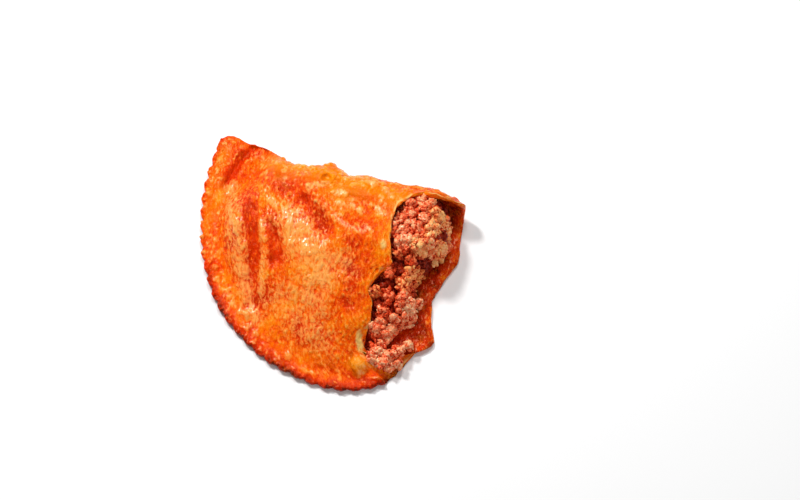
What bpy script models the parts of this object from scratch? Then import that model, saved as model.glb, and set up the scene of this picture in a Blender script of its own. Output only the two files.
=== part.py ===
"""Cheburek: a half-moon of fried dough torn open at one end, with its minced meat showing.

Two solids: "dough", one folded sheet with a sealed scalloped rim and a pocket that is
open at the torn end, and "filling", the meat that runs through the pocket and out of it.
Sizes below are millimetres; the solids are written in metres, +Z up, resting on z = 0.
+X runs along the fold from the whole corner to the torn end, the rim faces -Y.
"""
import math
import random

import bmesh
import bpy
from mathutils import Matrix, Vector, noise
from mathutils.bvhtree import BVHTree

MM = 0.001

# Plan of the half-moon
HALF_CHORD = 101.0
RIM_DEPTH = 122.0
RIM_POWER = 2.2
FOLD_RUN = 140.6
FOLD_END_Y = -1.2
RIM_END_X = 132.5
# The rim pulls back toward the torn end: where it starts, over what run, by how much
PULL_START = 100.0
PULL_RUN = 32.5
PULL = 8.5
# Back-and-forth of the fold in plan: centre along x, reach, offset outward
FOLD_WAVES = ((12.0, 10.0, 3.4), (46.0, 14.0, -5.6), (66.0, 6.5, 1.6),
              (75.5, 6.5, -4.2), (126.0, 20.0, 4.2))

# Sealed rim
TOOTH_PITCH = 8.4
TOOTH_DEPTH = 1.5
RIM_THICK = 2.7
RIM_LIFT = 0.4
BAND = 9.5
BAND_AT_CORNER = 17.0
CORNER_RUN = 46.0

# Body
BODY_LOW = 13.5
BODY_HIGH = 24.5
RISE_SIDE = 15.0
RISE_FRONT = 80.0
NOSE_CORNER = 2.4
NOSE_FULL = 10.0
NOSE_TOP_RUN = 17.0
NOSE_BOTTOM_RUN = 10.0
SKIN = 1.7
CLEARANCE = 0.4
ROOF_GAP = 1.2

# Torn edges: share of the way from the fold to the rim, and x there
TOP_TEAR = ((0.0, 140.6), (0.03, 138.5), (0.052, 119.0), (0.13, 110.0), (0.20, 107.0),
            (0.30, 108.5), (0.39, 112.0), (0.455, 116.0), (0.51, 111.0), (0.61, 107.5),
            (0.655, 112.0), (0.745, 115.0), (0.83, 109.5), (0.92, 116.0), (1.0, 132.5))
BOTTOM_TEAR = ((0.0, 140.6), (0.03, 140.5), (0.12, 142.0), (0.26, 146.0), (0.34, 143.0),
               (0.48, 139.5), (0.60, 143.5), (0.70, 149.5), (0.78, 142.0), (0.90, 137.5),
               (1.0, 132.5))
MEAT_FRONT = ((0.0, 128.0), (0.11, 137.0), (0.26, 142.5), (0.33, 138.5), (0.48, 135.0),
              (0.60, 139.5), (0.68, 145.0), (0.76, 139.0), (0.85, 136.5), (0.95, 135.0),
              (1.0, 131.0))

# Folds, swellings and dents of the top: x, y, half length, half width, turn (deg), height
RELIEF = (
    (43.0, -64.0, 23.0, 4.0, -70.0, -1.4),
    (53.5, -57.7, 13.0, 3.4, -70.0, -1.0),
    (48.5, -58.0, 32.0, 3.4, -71.0, 1.0),
    (35.0, -52.0, 26.0, 4.0, -72.0, 0.9),
    (62.0, -66.0, 24.0, 4.0, -66.0, 0.6),
    (73.0, -31.0, 17.0, 3.4, -36.0, 1.4),
    (98.0, -41.0, 15.0, 3.6, -8.0, 1.2),
    (72.0, -40.0, 9.0, 6.0, -30.0, -1.6),
    (92.0, -60.0, 14.0, 9.0, -12.0, -1.2),
    (66.6, -13.6, 5.0, 4.0, 0.0, 1.2),
    (66.6, -13.6, 2.6, 2.0, 0.0, -1.9),
    (52.0, -18.0, 5.0, 4.0, 20.0, 0.9),
    (86.0, -16.0, 6.0, 4.0, 10.0, 0.8),
    (108.0, -86.0, 7.0, 8.0, 0.0, 2.2),
    (115.4, -106.0, 4.6, 4.2, 0.0, 1.6),
    (88.0, -97.0, 6.0, 4.0, 15.0, 0.8),
    (70.0, -92.0, 9.0, 4.0, -40.0, 0.8),
    (14.5, -54.7, 3.4, 3.0, 0.0, 0.7),
    (12.0, -38.0, 3.0, 2.6, 0.0, 0.6),
    (26.0, -78.0, 4.0, 3.0, 30.0, 0.6),
)

# Meat: x, y, radius along x, radius along y, height of each lump
LUMPS = ((122.0, -24.0, 19.0, 18.0, 22.0), (134.0, -27.0, 13.0, 13.0, 12.0),
         (120.0, -50.0, 18.0, 15.0, 13.5), (128.0, -78.0, 20.0, 24.0, 13.5),
         (100.0, -40.0, 26.0, 40.0, 22.0), (70.0, -45.0, 50.0, 60.0, 26.0))
LUMP_ROUGHNESS = 1.3
CRUMBS = 150
CRUMB_LARGE = 3.6
CRUMB_SMALL = 1.5
CRUMB_POINTS = 14
SEED = 31

# Finishes: colour, roughness, metallic
DOUGH_FINISH = ((0.72, 0.17, 0.02, 1.0), 0.32, 0.0)
MEAT_FINISH = ((0.62, 0.22, 0.13, 1.0), 0.45, 0.0)

# Rows and columns
ROWS_PER_TOOTH = 4
COLUMNS = 20
BAND_COLUMNS = 5
INNER_ROWS = 30
CORE_ROWS = 22
CORE_COLUMNS = 15
DOUGH_TRIANGLES = 8200
FILLING_TRIANGLES = 5600


def smooth(t):
    """Return the 0..1 smoothstep of t."""
    t = max(0.0, min(1.0, t))
    return t * t * (3.0 - 2.0 * t)


def mix(a, b, t):
    """Return a blended to b by t."""
    return a + (b - a) * t


def along(table, v):
    """Read a (share, value) table at v, straight between its entries."""
    for (v0, x0), (v1, x1) in zip(table, table[1:]):
        if v <= v1:
            return mix(x0, x1, (v - v0) / (v1 - v0))
    return table[-1][1]


def quarter(d, run):
    """Return the rise of a quarter ellipse at distance d from its end."""
    t = 1.0 - max(0.0, min(1.0, d / run))
    return math.sqrt(max(0.0, 1.0 - t * t))


def superellipse(angle):
    """Return the point of the half-moon's rim at an angle from the corner."""
    c, s = math.cos(angle), math.sin(angle)
    x = HALF_CHORD * (1.0 - math.copysign(abs(c) ** (2.0 / RIM_POWER), c))
    pull = PULL * max(0.0, min(1.0, (x - PULL_START) / PULL_RUN)) ** 2.5
    return Vector((x, -(RIM_DEPTH - pull) * abs(s) ** (2.0 / RIM_POWER)))


def rim_table(steps=1600):
    """Return (run, point) pairs along the whole rim, evenly dense."""
    table, run, last = [], 0.0, superellipse(0.0)
    for i in range(steps + 1):
        point = superellipse(math.pi * i / steps)
        run += (point - last).length
        table.append((run, point))
        last = point
    return table


RIM = rim_table()
RIM_RUN = next(run for run, point in RIM if point.x >= RIM_END_X)


def rim_at(run):
    """Return the plain rim point and its outward normal at a run from the corner."""
    low, high = 0, len(RIM) - 1
    while high - low > 1:
        middle = (low + high) // 2
        if RIM[middle][0] < run:
            low = middle
        else:
            high = middle
    a, b = RIM[low], RIM[high]
    point = a[1].lerp(b[1], (run - a[0]) / max(b[0] - a[0], 1e-9))
    first, last = RIM[max(low - 12, 0)][1], RIM[min(high + 12, len(RIM) - 1)][1]
    tangent = (last - first).normalized()
    return point, Vector((tangent.y, -tangent.x))


def band_at(run):
    """Return the width of the sealed band at a run along the rim."""
    return BAND + BAND_AT_CORNER * smooth(1.0 - run / CORNER_RUN * 0.9)


def rise_at(run):
    """Return how far in from the band the body reaches its height."""
    return mix(RISE_SIDE, RISE_FRONT, smooth((run - 55.0) / 95.0))


SAMPLES = [(rim_at(run)[0], band_at(run), rise_at(run))
           for run in [RIM[-1][0] * (i + 0.5) / 110 for i in range(110)]]


def seal_at(run, extra=3.0):
    """Return the plan point where the two layers part, inside the band."""
    point, normal = rim_at(run)
    return point - normal * (band_at(run) + extra)


def fold_y(x):
    """Return the y of the fold at x."""
    y = FOLD_END_Y * smooth(x / FOLD_RUN)
    for centre, reach, offset in FOLD_WAVES:
        y += offset * math.exp(-((x - centre) / reach) ** 2)
    return y * smooth(x / 5.0) * (1.0 - 0.7 * smooth((x - 134.0) / 8.0))


def inward(p):
    """Return the share of the rise, and the distance to the rim, of a plan point."""
    near, total, weight = 1e9, 0.0, 0.0
    for point, band, rise in SAMPLES:
        d = math.hypot(p.x - point.x, p.y - point.y)
        near = min(near, d)
        share = (d - band) / rise
        w = math.exp(-14.0 * min(share, 3.0))
        total += share * w
        weight += w
    return max(0.0, min(1.0, total / weight)), near


def relief(p):
    """Return the folds, swellings and dents of the top at a plan point."""
    z = 0.0
    for x, y, half_x, half_y, turn, height in RELIEF:
        c, s = math.cos(math.radians(turn)), math.sin(math.radians(turn))
        a = ((p.x - x) * c + (p.y - y) * s) / half_x
        b = ((p.y - y) * c - (p.x - x) * s) / half_y
        z += height * math.exp(-(a * a + b * b))
    return z + 0.55 * noise.noise(Vector((p.x / 13.0, p.y / 13.0, 4.0)))


def top_plain(p):
    """Return the height of the top before its ends are rounded off."""
    share, _ = inward(p)
    high = mix(BODY_LOW, BODY_HIGH, smooth((p.x - 18.0) / 66.0))
    body = high * math.sin(0.5 * math.pi * share) ** mix(1.0, 1.4, smooth(p.x / 60.0))
    wave = 0.5 * math.sin(p.x * 0.21) * math.sin(p.y * 0.17 + 0.6)
    return RIM_LIFT + RIM_THICK + wave * 0.5 + body + relief(p) * smooth(share * 8.0 + 0.35)


def bottom_plain(p):
    """Return the height of the underside before its ends are rounded off."""
    share, near = inward(p)
    wave = 0.25 + 0.25 * math.sin(p.x * 0.21 + 0.4) * math.sin(p.y * 0.17 + 0.6)
    return (RIM_LIFT + wave * 0.5) * (1.0 - smooth((near - BAND) / 14.0))


def edge_height(p, near, back):
    """Return the height where top and underside meet, at the rim or at the fold."""
    nose = mix(NOSE_CORNER, NOSE_FULL, smooth((p.x - 8.0) / 38.0))
    rim = RIM_LIFT + 0.5 * RIM_THICK + 0.2
    near, back = near + 0.01, back + 0.01
    return (nose * near + rim * back) / (near + back)


def nose_run(p, full):
    """Return how far from the fold the surface takes to round over."""
    return mix(2.6, full, smooth((p.x - 10.0) / 34.0))


def outer_height(p, side, share_out):
    """Return the outer skin's height: side 1 the top, -1 the underside."""
    _, near = inward(p)
    near = 0.0 if share_out >= 1.0 else near
    back = 0.0 if share_out <= 0.0 else max(0.0, fold_y(p.x) - p.y)
    edge = edge_height(p, near, back)
    full = NOSE_TOP_RUN if side > 0 else NOSE_BOTTOM_RUN
    target = top_plain(p) if side > 0 else bottom_plain(p)
    return mix(edge, target, quarter(back, nose_run(p, full)) * quarter(near, 1.35))


def slope_at(p):
    """Return the steepness of the plain top."""
    z = top_plain(p)
    dx = (top_plain(p + Vector((1.0, 0.0))) - z)
    dy = (top_plain(p + Vector((0.0, 1.0))) - z)
    return math.hypot(dx, dy)


def inner_height(p, side, v, back, depth, inset=0.0):
    """Return the pocket's height, inset more for what fills it."""
    floor = bottom_plain(p) + SKIN + inset
    if side < 0:
        target = floor
    else:
        thick = (SKIN + inset) * min(2.2, math.hypot(1.0, slope_at(p)))
        target = max(floor + min(0.4 * depth, 1.0), top_plain(p) - thick)
    full = (NOSE_TOP_RUN if side > 0 else NOSE_BOTTOM_RUN) - SKIN - inset
    edge = max(floor + 0.3, edge_height(p, 60.0, back))
    if v <= 0.0:
        return edge
    if v >= 1.0:
        return floor + 0.15
    nose = quarter(back, max(2.0, nose_run(p, full)))
    seal = quarter(depth, 2.0)
    return mix(mix(floor + 0.15, edge, smooth(depth / 20.0)), target, nose * seal)


def coons(fold, rim, tear, u, v):
    """Return the plan point of a patch between the fold, the rim and a torn edge."""
    straight = fold(u) * (1.0 - v) + rim(u) * v
    pull = tear(v) - tear(0.0) * (1.0 - v) - tear(1.0) * v
    return straight + pull * u ** 3


def outer_fold(u):
    """Return the fold's plan point."""
    x = FOLD_RUN * u
    return Vector((x, fold_y(x)))


def outer_rim(u):
    """Return the scalloped rim's plan point."""
    run = RIM_RUN * u
    point, normal = rim_at(run)
    tooth = abs(math.sin(math.pi * run / TOOTH_PITCH)) ** 0.75 - 0.6
    fade = smooth(run / 12.0)
    slack = 0.9 * noise.noise(Vector((run / 23.0, 2.0, 0.0)))
    return point + normal * ((TOOTH_DEPTH * tooth + slack) * fade)


def torn_edge(table, start, end):
    """Return a function from the share between fold and rim to the torn edge's point."""
    def edge(v):
        return Vector((along(table, v), mix(start.y, end.y, v)))
    return edge


def inner_curves(inset):
    """Return the pocket's fold curve and seal curve, set in by a margin."""
    first, last = 12.0 + inset * 20.0, RIM_RUN - 3.0
    side, back = inset * 8.0, SKIN + 0.6 + inset * 4.0
    corner = seal_at(first, 3.0 + side * 2.2)
    mouth = Vector((FOLD_RUN - 1.2, fold_y(FOLD_RUN - 1.2) - back))

    def fold(u):
        x = mix(corner.x, mouth.x, u)
        return Vector((x, mix(corner.y, fold_y(x) - back, smooth(u / 0.14))))

    def seal(u):
        share = 1.0 + 1.2 * smooth(1.0 - u * 4.0) - 0.6 * smooth(u * 5.0 - 4.0)
        return seal_at(mix(first, last, u), 3.0 + side * share)

    return fold, seal


def inner_edge(table, start, end, v_start, v_end):
    """Return the torn edge of the pocket's wall, brought to its shared end points."""
    def edge(v):
        x = along(table, mix(v_start, v_end, v))
        x += (start.x - along(table, v_start)) * (1.0 - smooth(v / 0.06))
        x += (end.x - along(table, v_end)) * smooth((v - 0.82) / 0.18)
        return Vector((x, mix(start.y, end.y, v)))
    return edge


class Sheet:
    """A grid shaped into one patch, in rows from the corner to the torn end."""

    def __init__(self, bm, rows, inward_faces):
        last_row, last_column = len(rows) - 1, len(rows[0]) - 1
        made = bmesh.ops.create_grid(bm, x_segments=last_column, y_segments=last_row, size=1.0)
        self.rows = [[None] * (last_column + 1) for _ in rows]
        for vertex in made["verts"]:
            j = round((vertex.co.x + 1.0) * 0.5 * last_column)
            i = round((vertex.co.y + 1.0) * 0.5 * last_row)
            self.rows[i][j] = vertex
            vertex.co = Vector(rows[i][j]) * MM
        if inward_faces:
            faces = {face for vertex in made["verts"] for face in vertex.link_faces}
            bmesh.ops.reverse_faces(bm, faces=list(faces))


def strip(bm, first, second):
    """Close the quads between two lines of vertices."""
    for i in range(len(first) - 1):
        bm.faces.new((first[i], second[i], second[i + 1], first[i + 1]))


def outer_columns():
    """Return the shares from fold to rim, dense at the fold and at the rim."""
    split = (1.0 - (BAND + 3.0) / 110.0)
    columns = [split * (i / COLUMNS) ** 1.45 for i in range(COLUMNS + 1)]
    rest = [0.45, 0.72, 0.90, 0.975, 1.0]
    return columns + [mix(split, 1.0, t) for t in rest[:BAND_COLUMNS]], split


def outer_rows(side, edge, columns):
    """Return the outer skin's rows of points."""
    teeth = int(RIM_RUN / TOOTH_PITCH)
    count = teeth * ROWS_PER_TOOTH + 1
    shares = [0.003, 0.012] + [(i + 1.0) / count for i in range(count)]
    rows = []
    for u in shares:
        row = []
        for v in columns:
            p = coons(outer_fold, outer_rim, edge, u, v)
            row.append((p.x, p.y, outer_height(p, side, v)))
        rows.append(row)
    return rows


def inner_rows(side, edge, fold, seal, count, inset=0.0, height=None):
    """Return the rows of points of the pocket's wall, or of what fills it."""
    rows = []
    rows_count, columns_count = count
    for i in range(rows_count + 1):
        u = (i / rows_count) ** 0.9
        row = []
        for j in range(columns_count + 1):
            v = (j / columns_count) ** 1.3
            p = coons(fold, seal, edge, max(u, 0.004), v)
            back = max(0.0, fold_y(p.x) - SKIN - 0.6 - inset * 4.0 - p.y)
            depth = min((p - seal(k / 40.0)).length for k in range(41))
            depth = min(depth, (p - seal(1.0)).length) if v < 1.0 else 0.0
            back = back if v > 0.0 else 0.0
            z = inner_height(p, side, v, back, depth, inset)
            if height is not None and side > 0:
                z = height(p, u, z, inner_height(p, -1, v, back, depth, inset))
            row.append((p.x, p.y, z))
        rows.append(row)
    return rows


def close_start(bm, top, bottom):
    """Fan the first rows of two patches together at the corner."""
    ring = top.rows[0] + bottom.rows[0][::-1]
    centre = Vector((0.0, 0.0, 0.0))
    for vertex in ring:
        centre += vertex.co / len(ring)
    tip = bm.verts.new(centre)
    for a, b in zip(ring, ring[1:] + ring[:1]):
        bm.faces.new((a, b, tip))


def finish_mesh(bm, name, home, finish):
    """Weld, orient and store a mesh as a named object in a collection."""
    bmesh.ops.remove_doubles(bm, verts=bm.verts, dist=0.02 * MM)
    bmesh.ops.dissolve_degenerate(bm, edges=bm.edges, dist=0.01 * MM)
    bmesh.ops.triangulate(bm, faces=bm.faces)
    bmesh.ops.recalc_face_normals(bm, faces=bm.faces)
    if bm.calc_volume(signed=True) < 0.0:
        bmesh.ops.reverse_faces(bm, faces=bm.faces)
    mesh = bpy.data.meshes.new(name)
    bm.to_mesh(mesh)
    bm.free()
    mesh.materials.append(material(name, *finish))
    item = bpy.data.objects.new(name, mesh)
    home.objects.link(item)
    return item


def material(name, colour, roughness, metallic):
    """Return a plain finish."""
    made = bpy.data.materials.new(name)
    made.use_nodes = True
    shader = made.node_tree.nodes["Principled BSDF"]
    shader.inputs["Base Color"].default_value = colour
    shader.inputs["Roughness"].default_value = roughness
    shader.inputs["Metallic"].default_value = metallic
    return made


def apply_modifier(item, kind, **settings):
    """Add a modifier, keep its result as the object's mesh and drop the modifier."""
    modifier = item.modifiers.new(kind.title(), kind)
    for key, value in settings.items():
        setattr(modifier, key, value)
    graph = bpy.context.evaluated_depsgraph_get()
    graph.update()
    mesh = bpy.data.meshes.new_from_object(item.evaluated_get(graph))
    item.modifiers.clear()
    old, item.data = item.data, mesh
    bpy.data.meshes.remove(old)
    item.data.name = item.name


def build_dough(home):
    """Build the folded sheet with its sealed rim and torn pocket."""
    bm = bmesh.new()
    columns, split = outer_columns()
    start, end = outer_fold(1.0), outer_rim(1.0)
    top_edge = torn_edge(((0.0, start.x),) + TOP_TEAR[1:-1] + ((1.0, end.x),), start, end)
    low_edge = torn_edge(((0.0, start.x),) + BOTTOM_TEAR[1:-1] + ((1.0, end.x),), start, end)
    top = Sheet(bm, outer_rows(1, top_edge, columns), False)
    low = Sheet(bm, outer_rows(-1, low_edge, columns), True)
    fold, seal = inner_curves(0.0)
    args = (fold(1.0), seal(1.0), 0.02, split)
    rest = (fold, seal, (INNER_ROWS, COLUMNS))
    in_top = Sheet(bm, inner_rows(1, inner_edge(TOP_TEAR, *args), *rest), True)
    in_low = Sheet(bm, inner_rows(-1, inner_edge(BOTTOM_TEAR, *args), *rest), False)
    close_start(bm, top, low)
    close_start(bm, in_top, in_low)
    lip, sole = top.rows[-1], low.rows[-1]
    roof, floor = in_top.rows[-1], in_low.rows[-1]
    strip(bm, lip[:COLUMNS + 1], roof)
    strip(bm, floor, sole[:COLUMNS + 1])
    bm.faces.new((lip[COLUMNS], roof[COLUMNS], sole[COLUMNS]))
    strip(bm, lip[COLUMNS:], sole[COLUMNS:])
    item = finish_mesh(bm, "dough", home, DOUGH_FINISH)
    count = len(item.data.polygons)
    if count > DOUGH_TRIANGLES:
        apply_modifier(item, "DECIMATE", ratio=DOUGH_TRIANGLES / count)
    return item


def pile_height(p):
    """Return the height of the heap of meat at a plan point."""
    best = 0.0
    for x, y, reach_x, reach_y, high in LUMPS:
        a = ((p.x - x) / reach_x) ** 2 + ((p.y - y) / reach_y) ** 2
        best = max(best, high * math.sqrt(max(0.0, 1.0 - a * 0.8)))
    return best + LUMP_ROUGHNESS * noise.noise(Vector((p.x / 4.5, p.y / 4.5, 9.0)))


def build_core(home):
    """Build the body of the meat, without its crumbs."""
    bm = bmesh.new()
    fold, seal = inner_curves(CLEARANCE)
    front = MEAT_FRONT

    def meat_fold(u):
        x = mix(fold(0.0).x, front[0][1], u)
        return fold((x - fold(0.0).x) / (fold(1.0).x - fold(0.0).x))

    def meat_seal(u):
        return seal(u * 0.985)

    def straight_edge(v):
        first, last = meat_fold(1.0), meat_seal(1.0)
        x = along(front, v) - mix(front[0][1] - first.x, front[-1][1] - last.x, v)
        return Vector((x, mix(first.y, last.y, v)))

    def height(p, u, high, low):
        heap = low + max(1.2, pile_height(p))
        hollow = 3.0 * smooth((p.x - 84.0) / 16.0) * smooth((p.x + p.y * 0.4 - 60.0) / 20.0)
        room = max(0.0, high - low)
        top = min(high - ROOF_GAP * smooth(room / 6.0) - hollow * smooth(room / 12.0), heap)
        ends = quarter((1.0 - u) * 120.0, 7.0) if u < 1.0 else 0.0
        return mix(low, max(top, low), ends)

    rest = (straight_edge, meat_fold, meat_seal, (CORE_ROWS, CORE_COLUMNS), CLEARANCE, height)
    top = Sheet(bm, inner_rows(1, *rest), False)
    low = Sheet(bm, inner_rows(-1, *rest), True)
    close_start(bm, top, low)
    strip(bm, top.rows[-1], low.rows[-1])
    return finish_mesh(bm, "filling", home, MEAT_FINISH)


def crumb_mesh(rng, radius):
    """Return a small uneven lump of few sides."""
    bm = bmesh.new()
    stretch = (rng.uniform(0.9, 1.35), rng.uniform(0.75, 1.05), rng.uniform(0.7, 0.95))
    for i in range(CRUMB_POINTS):
        z = 1.0 - (2.0 * i + 1.0) / CRUMB_POINTS
        turn = 2.39996 * i + 0.35 * rng.random()
        flat = math.sqrt(1.0 - z * z)
        size = radius * MM * (1.0 + 0.16 * (rng.random() - 0.5))
        bm.verts.new(Vector((math.cos(turn) * flat * stretch[0],
                             math.sin(turn) * flat * stretch[1], z * stretch[2])) * size)
    bmesh.ops.convex_hull(bm, input=bm.verts)
    bmesh.ops.triangulate(bm, faces=bm.faces)
    bmesh.ops.recalc_face_normals(bm, faces=bm.faces)
    mesh = bpy.data.meshes.new("crumb")
    bm.to_mesh(mesh)
    bm.free()
    return mesh


def tree_of(item):
    """Return a search tree over an object's mesh."""
    vertices = [v.co.copy() for v in item.data.vertices]
    faces = [tuple(p.vertices) for p in item.data.polygons]
    return BVHTree.FromPolygons(vertices, faces)


def add_crumbs(core, dough):
    """Fuse crumbs onto the meat that shows, largest first, clear of the dough."""
    rng = random.Random(SEED)
    around, body = tree_of(dough), tree_of(core)
    spots = []
    for face in core.data.polygons:
        c = face.center / MM
        if face.normal.z > -0.2 and c.x > 99.0 and c.z > 2.6:
            spots.append((face.area, face.center.copy(), face.normal.copy()))
    total = sum(area for area, _, _ in spots)
    holder = bpy.data.collections.new("crumbs")
    bpy.context.scene.collection.children.link(holder)
    placed = []
    for i in range(CRUMBS * 12):
        if len(placed) >= CRUMBS:
            break
        radius = mix(CRUMB_LARGE, CRUMB_SMALL, (len(placed) / CRUMBS) ** 0.7) * MM
        pick = rng.uniform(0.0, total)
        for area, centre, normal in spots:
            pick -= area
            if pick <= 0.0:
                break
        shake = Vector((rng.uniform(-1, 1), rng.uniform(-1, 1), rng.uniform(-0.5, 0.5)))
        spot = centre + shake * 1.6 * MM + normal * radius * 0.25
        reach = radius * 1.3
        if around.find_nearest(spot)[3] < reach + 0.3 * MM:
            continue
        if body.find_nearest(spot)[3] > radius * 0.6:
            continue
        if any((spot - other).length < (radius + size) * 0.62 for other, size in placed):
            continue
        crumb = bpy.data.objects.new("crumb", crumb_mesh(rng, radius / MM))
        turn = Matrix.Rotation(rng.uniform(0, math.tau), 4, "Z")
        tip = Matrix.Rotation(rng.uniform(-0.7, 0.7), 4, "X")
        crumb.matrix_world = Matrix.Translation(spot) @ turn @ tip
        crumb.hide_render = True
        crumb.display_type = "WIRE"
        holder.objects.link(crumb)
        placed.append((spot, radius))
    bpy.context.view_layer.update()
    apply_modifier(core, "BOOLEAN", operation="UNION", operand_type="COLLECTION",
                   collection=holder, solver="EXACT")
    for crumb in list(holder.objects):
        mesh = crumb.data
        bpy.data.objects.remove(crumb)
        bpy.data.meshes.remove(mesh)
    bpy.data.collections.remove(holder)


def keep_largest(item):
    """Drop loose scraps and inner shells, keeping the largest connected body."""
    bm = bmesh.new()
    bm.from_mesh(item.data)
    bm.verts.ensure_lookup_table()
    seen, groups = set(), []
    for vertex in bm.verts:
        if vertex.index in seen:
            continue
        stack, group = [vertex], []
        seen.add(vertex.index)
        while stack:
            here = stack.pop()
            group.append(here)
            for edge in here.link_edges:
                other = edge.other_vert(here)
                if other.index not in seen:
                    seen.add(other.index)
                    stack.append(other)
        groups.append(group)
    groups.sort(key=len, reverse=True)
    extra = [vertex for group in groups[1:] for vertex in group]
    bmesh.ops.delete(bm, geom=extra, context="VERTS")
    bmesh.ops.triangulate(bm, faces=bm.faces)
    bm.to_mesh(item.data)
    bm.free()


def settle(items):
    """Move the solids together so the bounding box rests centred on the origin."""
    low = Vector((1e9, 1e9, 1e9))
    high = -low
    for item in items:
        for vertex in item.data.vertices:
            for i in range(3):
                low[i] = min(low[i], vertex.co[i])
                high[i] = max(high[i], vertex.co[i])
    shift = Vector((-(low.x + high.x) / 2.0, -(low.y + high.y) / 2.0, -low.z))
    for item in items:
        item.data.transform(Matrix.Translation(shift))
        item.data.update()
    size = high - low
    print("SHIFT", [round(v / MM, 3) for v in shift], "SIZE", [round(v / MM, 2) for v in size])
    for item in items:
        print(item.name, len(item.data.polygons), "triangles")


def main():
    """Build both solids."""
    for item in list(bpy.data.objects):
        bpy.data.objects.remove(item)
    home = bpy.data.collections.new("cheburek")
    bpy.context.scene.collection.children.link(home)
    dough = build_dough(home)
    filling = build_core(home)
    add_crumbs(filling, dough)
    keep_largest(filling)
    count = len(filling.data.polygons)
    if count > FILLING_TRIANGLES:
        apply_modifier(filling, "DECIMATE", ratio=FILLING_TRIANGLES / count)
    settle((dough, filling))


main()
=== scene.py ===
"""A torn cheburek: a fried half-moon of dough and its minced meat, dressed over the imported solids.

Plan sizes are millimetres from the whole corner of the fold, +X along the fold toward the torn
end and -Y toward the scalloped rim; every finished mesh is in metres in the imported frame.
"""
from __future__ import annotations

import logging
import math
from dataclasses import dataclass, field
from enum import Enum
from typing import Any, Sequence

import bpy
import numpy as np
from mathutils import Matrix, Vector, kdtree, noise

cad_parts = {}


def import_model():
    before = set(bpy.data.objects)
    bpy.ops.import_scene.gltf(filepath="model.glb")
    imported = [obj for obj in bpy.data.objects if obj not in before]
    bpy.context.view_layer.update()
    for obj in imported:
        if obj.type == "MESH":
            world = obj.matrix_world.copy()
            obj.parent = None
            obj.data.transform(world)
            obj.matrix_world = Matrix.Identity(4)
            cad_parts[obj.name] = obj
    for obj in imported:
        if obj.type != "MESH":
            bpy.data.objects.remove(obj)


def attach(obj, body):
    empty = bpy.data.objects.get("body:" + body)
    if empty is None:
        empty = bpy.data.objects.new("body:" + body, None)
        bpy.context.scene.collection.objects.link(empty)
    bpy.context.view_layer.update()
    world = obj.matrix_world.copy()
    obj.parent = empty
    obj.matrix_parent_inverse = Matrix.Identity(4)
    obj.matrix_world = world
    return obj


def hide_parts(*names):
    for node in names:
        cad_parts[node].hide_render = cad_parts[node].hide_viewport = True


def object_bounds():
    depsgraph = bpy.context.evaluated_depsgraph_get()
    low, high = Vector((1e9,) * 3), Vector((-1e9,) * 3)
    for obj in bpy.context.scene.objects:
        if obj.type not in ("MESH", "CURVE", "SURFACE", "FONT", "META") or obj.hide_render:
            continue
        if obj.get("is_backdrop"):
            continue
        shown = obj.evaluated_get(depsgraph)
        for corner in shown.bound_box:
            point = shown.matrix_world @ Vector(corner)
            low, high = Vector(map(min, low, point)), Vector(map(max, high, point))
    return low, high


LOG = logging.getLogger("cheburek")
MM = 0.001
MEAT_BED = 0.0009       # the meat stays above this height, in metres
MOST_GRAINS = 900000.0  # ceiling on the places for grains, per square metre
FULL_TURN = 6.283       # radians
CHUNK = 20000           # points measured against the rim at a time
FAR = 1e9
Array = np.ndarray
Colour = tuple[float, float, float]
Table = tuple[tuple[float, float], ...]


class Side(Enum):
    """Which skin of the folded dough a sheet belongs to."""

    TOP = 1
    SOLE = -1


def srgb(red: int, green: int, blue: int) -> Colour:
    """Return a display colour as scene-linear values."""
    parts = [c / 255.0 for c in (red, green, blue)]
    return tuple(c / 12.92 if c <= 0.04045 else ((c + 0.055) / 1.055) ** 2.4 for c in parts)


def smooth(t: Array | float) -> Array:
    """Return the 0..1 smoothstep of t."""
    t = np.clip(t, 0.0, 1.0)
    return t * t * (3.0 - 2.0 * t)


def mix(a: Any, b: Any, t: Any) -> Any:
    """Return a blended to b by t."""
    return a + (b - a) * t


def onset(x: Array, start: float, run: float) -> Array:
    """Return 0 up to start, 1 from a run further on and a smooth rise between."""
    return smooth((x - start) / run)


def bell(x: Array, centre: float, reach: float) -> Array:
    """Return a soft hump of height 1 around a centre."""
    return np.exp(-((x - centre) / reach) ** 2)


def quarter(distance: Array, run: Array | float) -> Array:
    """Return the rise of a quarter ellipse at a distance from its end."""
    t = 1.0 - np.clip(distance / run, 0.0, 1.0)
    return np.sqrt(np.maximum(0.0, 1.0 - t * t))


def along(table: Table, v: Array | float) -> Array:
    """Read a (share, value) table at v."""
    return np.interp(v, [row[0] for row in table], [row[1] for row in table])


def cloud(points: Array, scale: Sequence[float] | float, octaves: int = 3,
          shift: float = 0.0) -> Array:
    """Return fractal noise in about -1..1 at points.

    Args:
        points: Positions in millimetres, shaped (count, 2 or 3).
        scale: Size of the largest waves along each axis.
        octaves: How many finer layers are added.
        shift: Moves the pattern, so that layers differ.

    Returns:
        One value for each point.
    """
    scaled = np.atleast_2d(points) / np.asarray(scale)
    if scaled.shape[1] == 2:
        scaled = np.column_stack([scaled, np.zeros(len(scaled))])
    scaled = scaled + shift
    return np.array([noise.fractal(row, 0.9, 2.1, octaves) for row in scaled.tolist()])


def nearest(points: Array, plan: Array, far: float = FAR) -> Array:
    """Return each plan point's distance to the nearest of some points, at most far."""
    best = np.full(len(plan), far)
    for point in points:
        best = np.minimum(best, np.hypot(*(plan - point).T))
    return best


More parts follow.
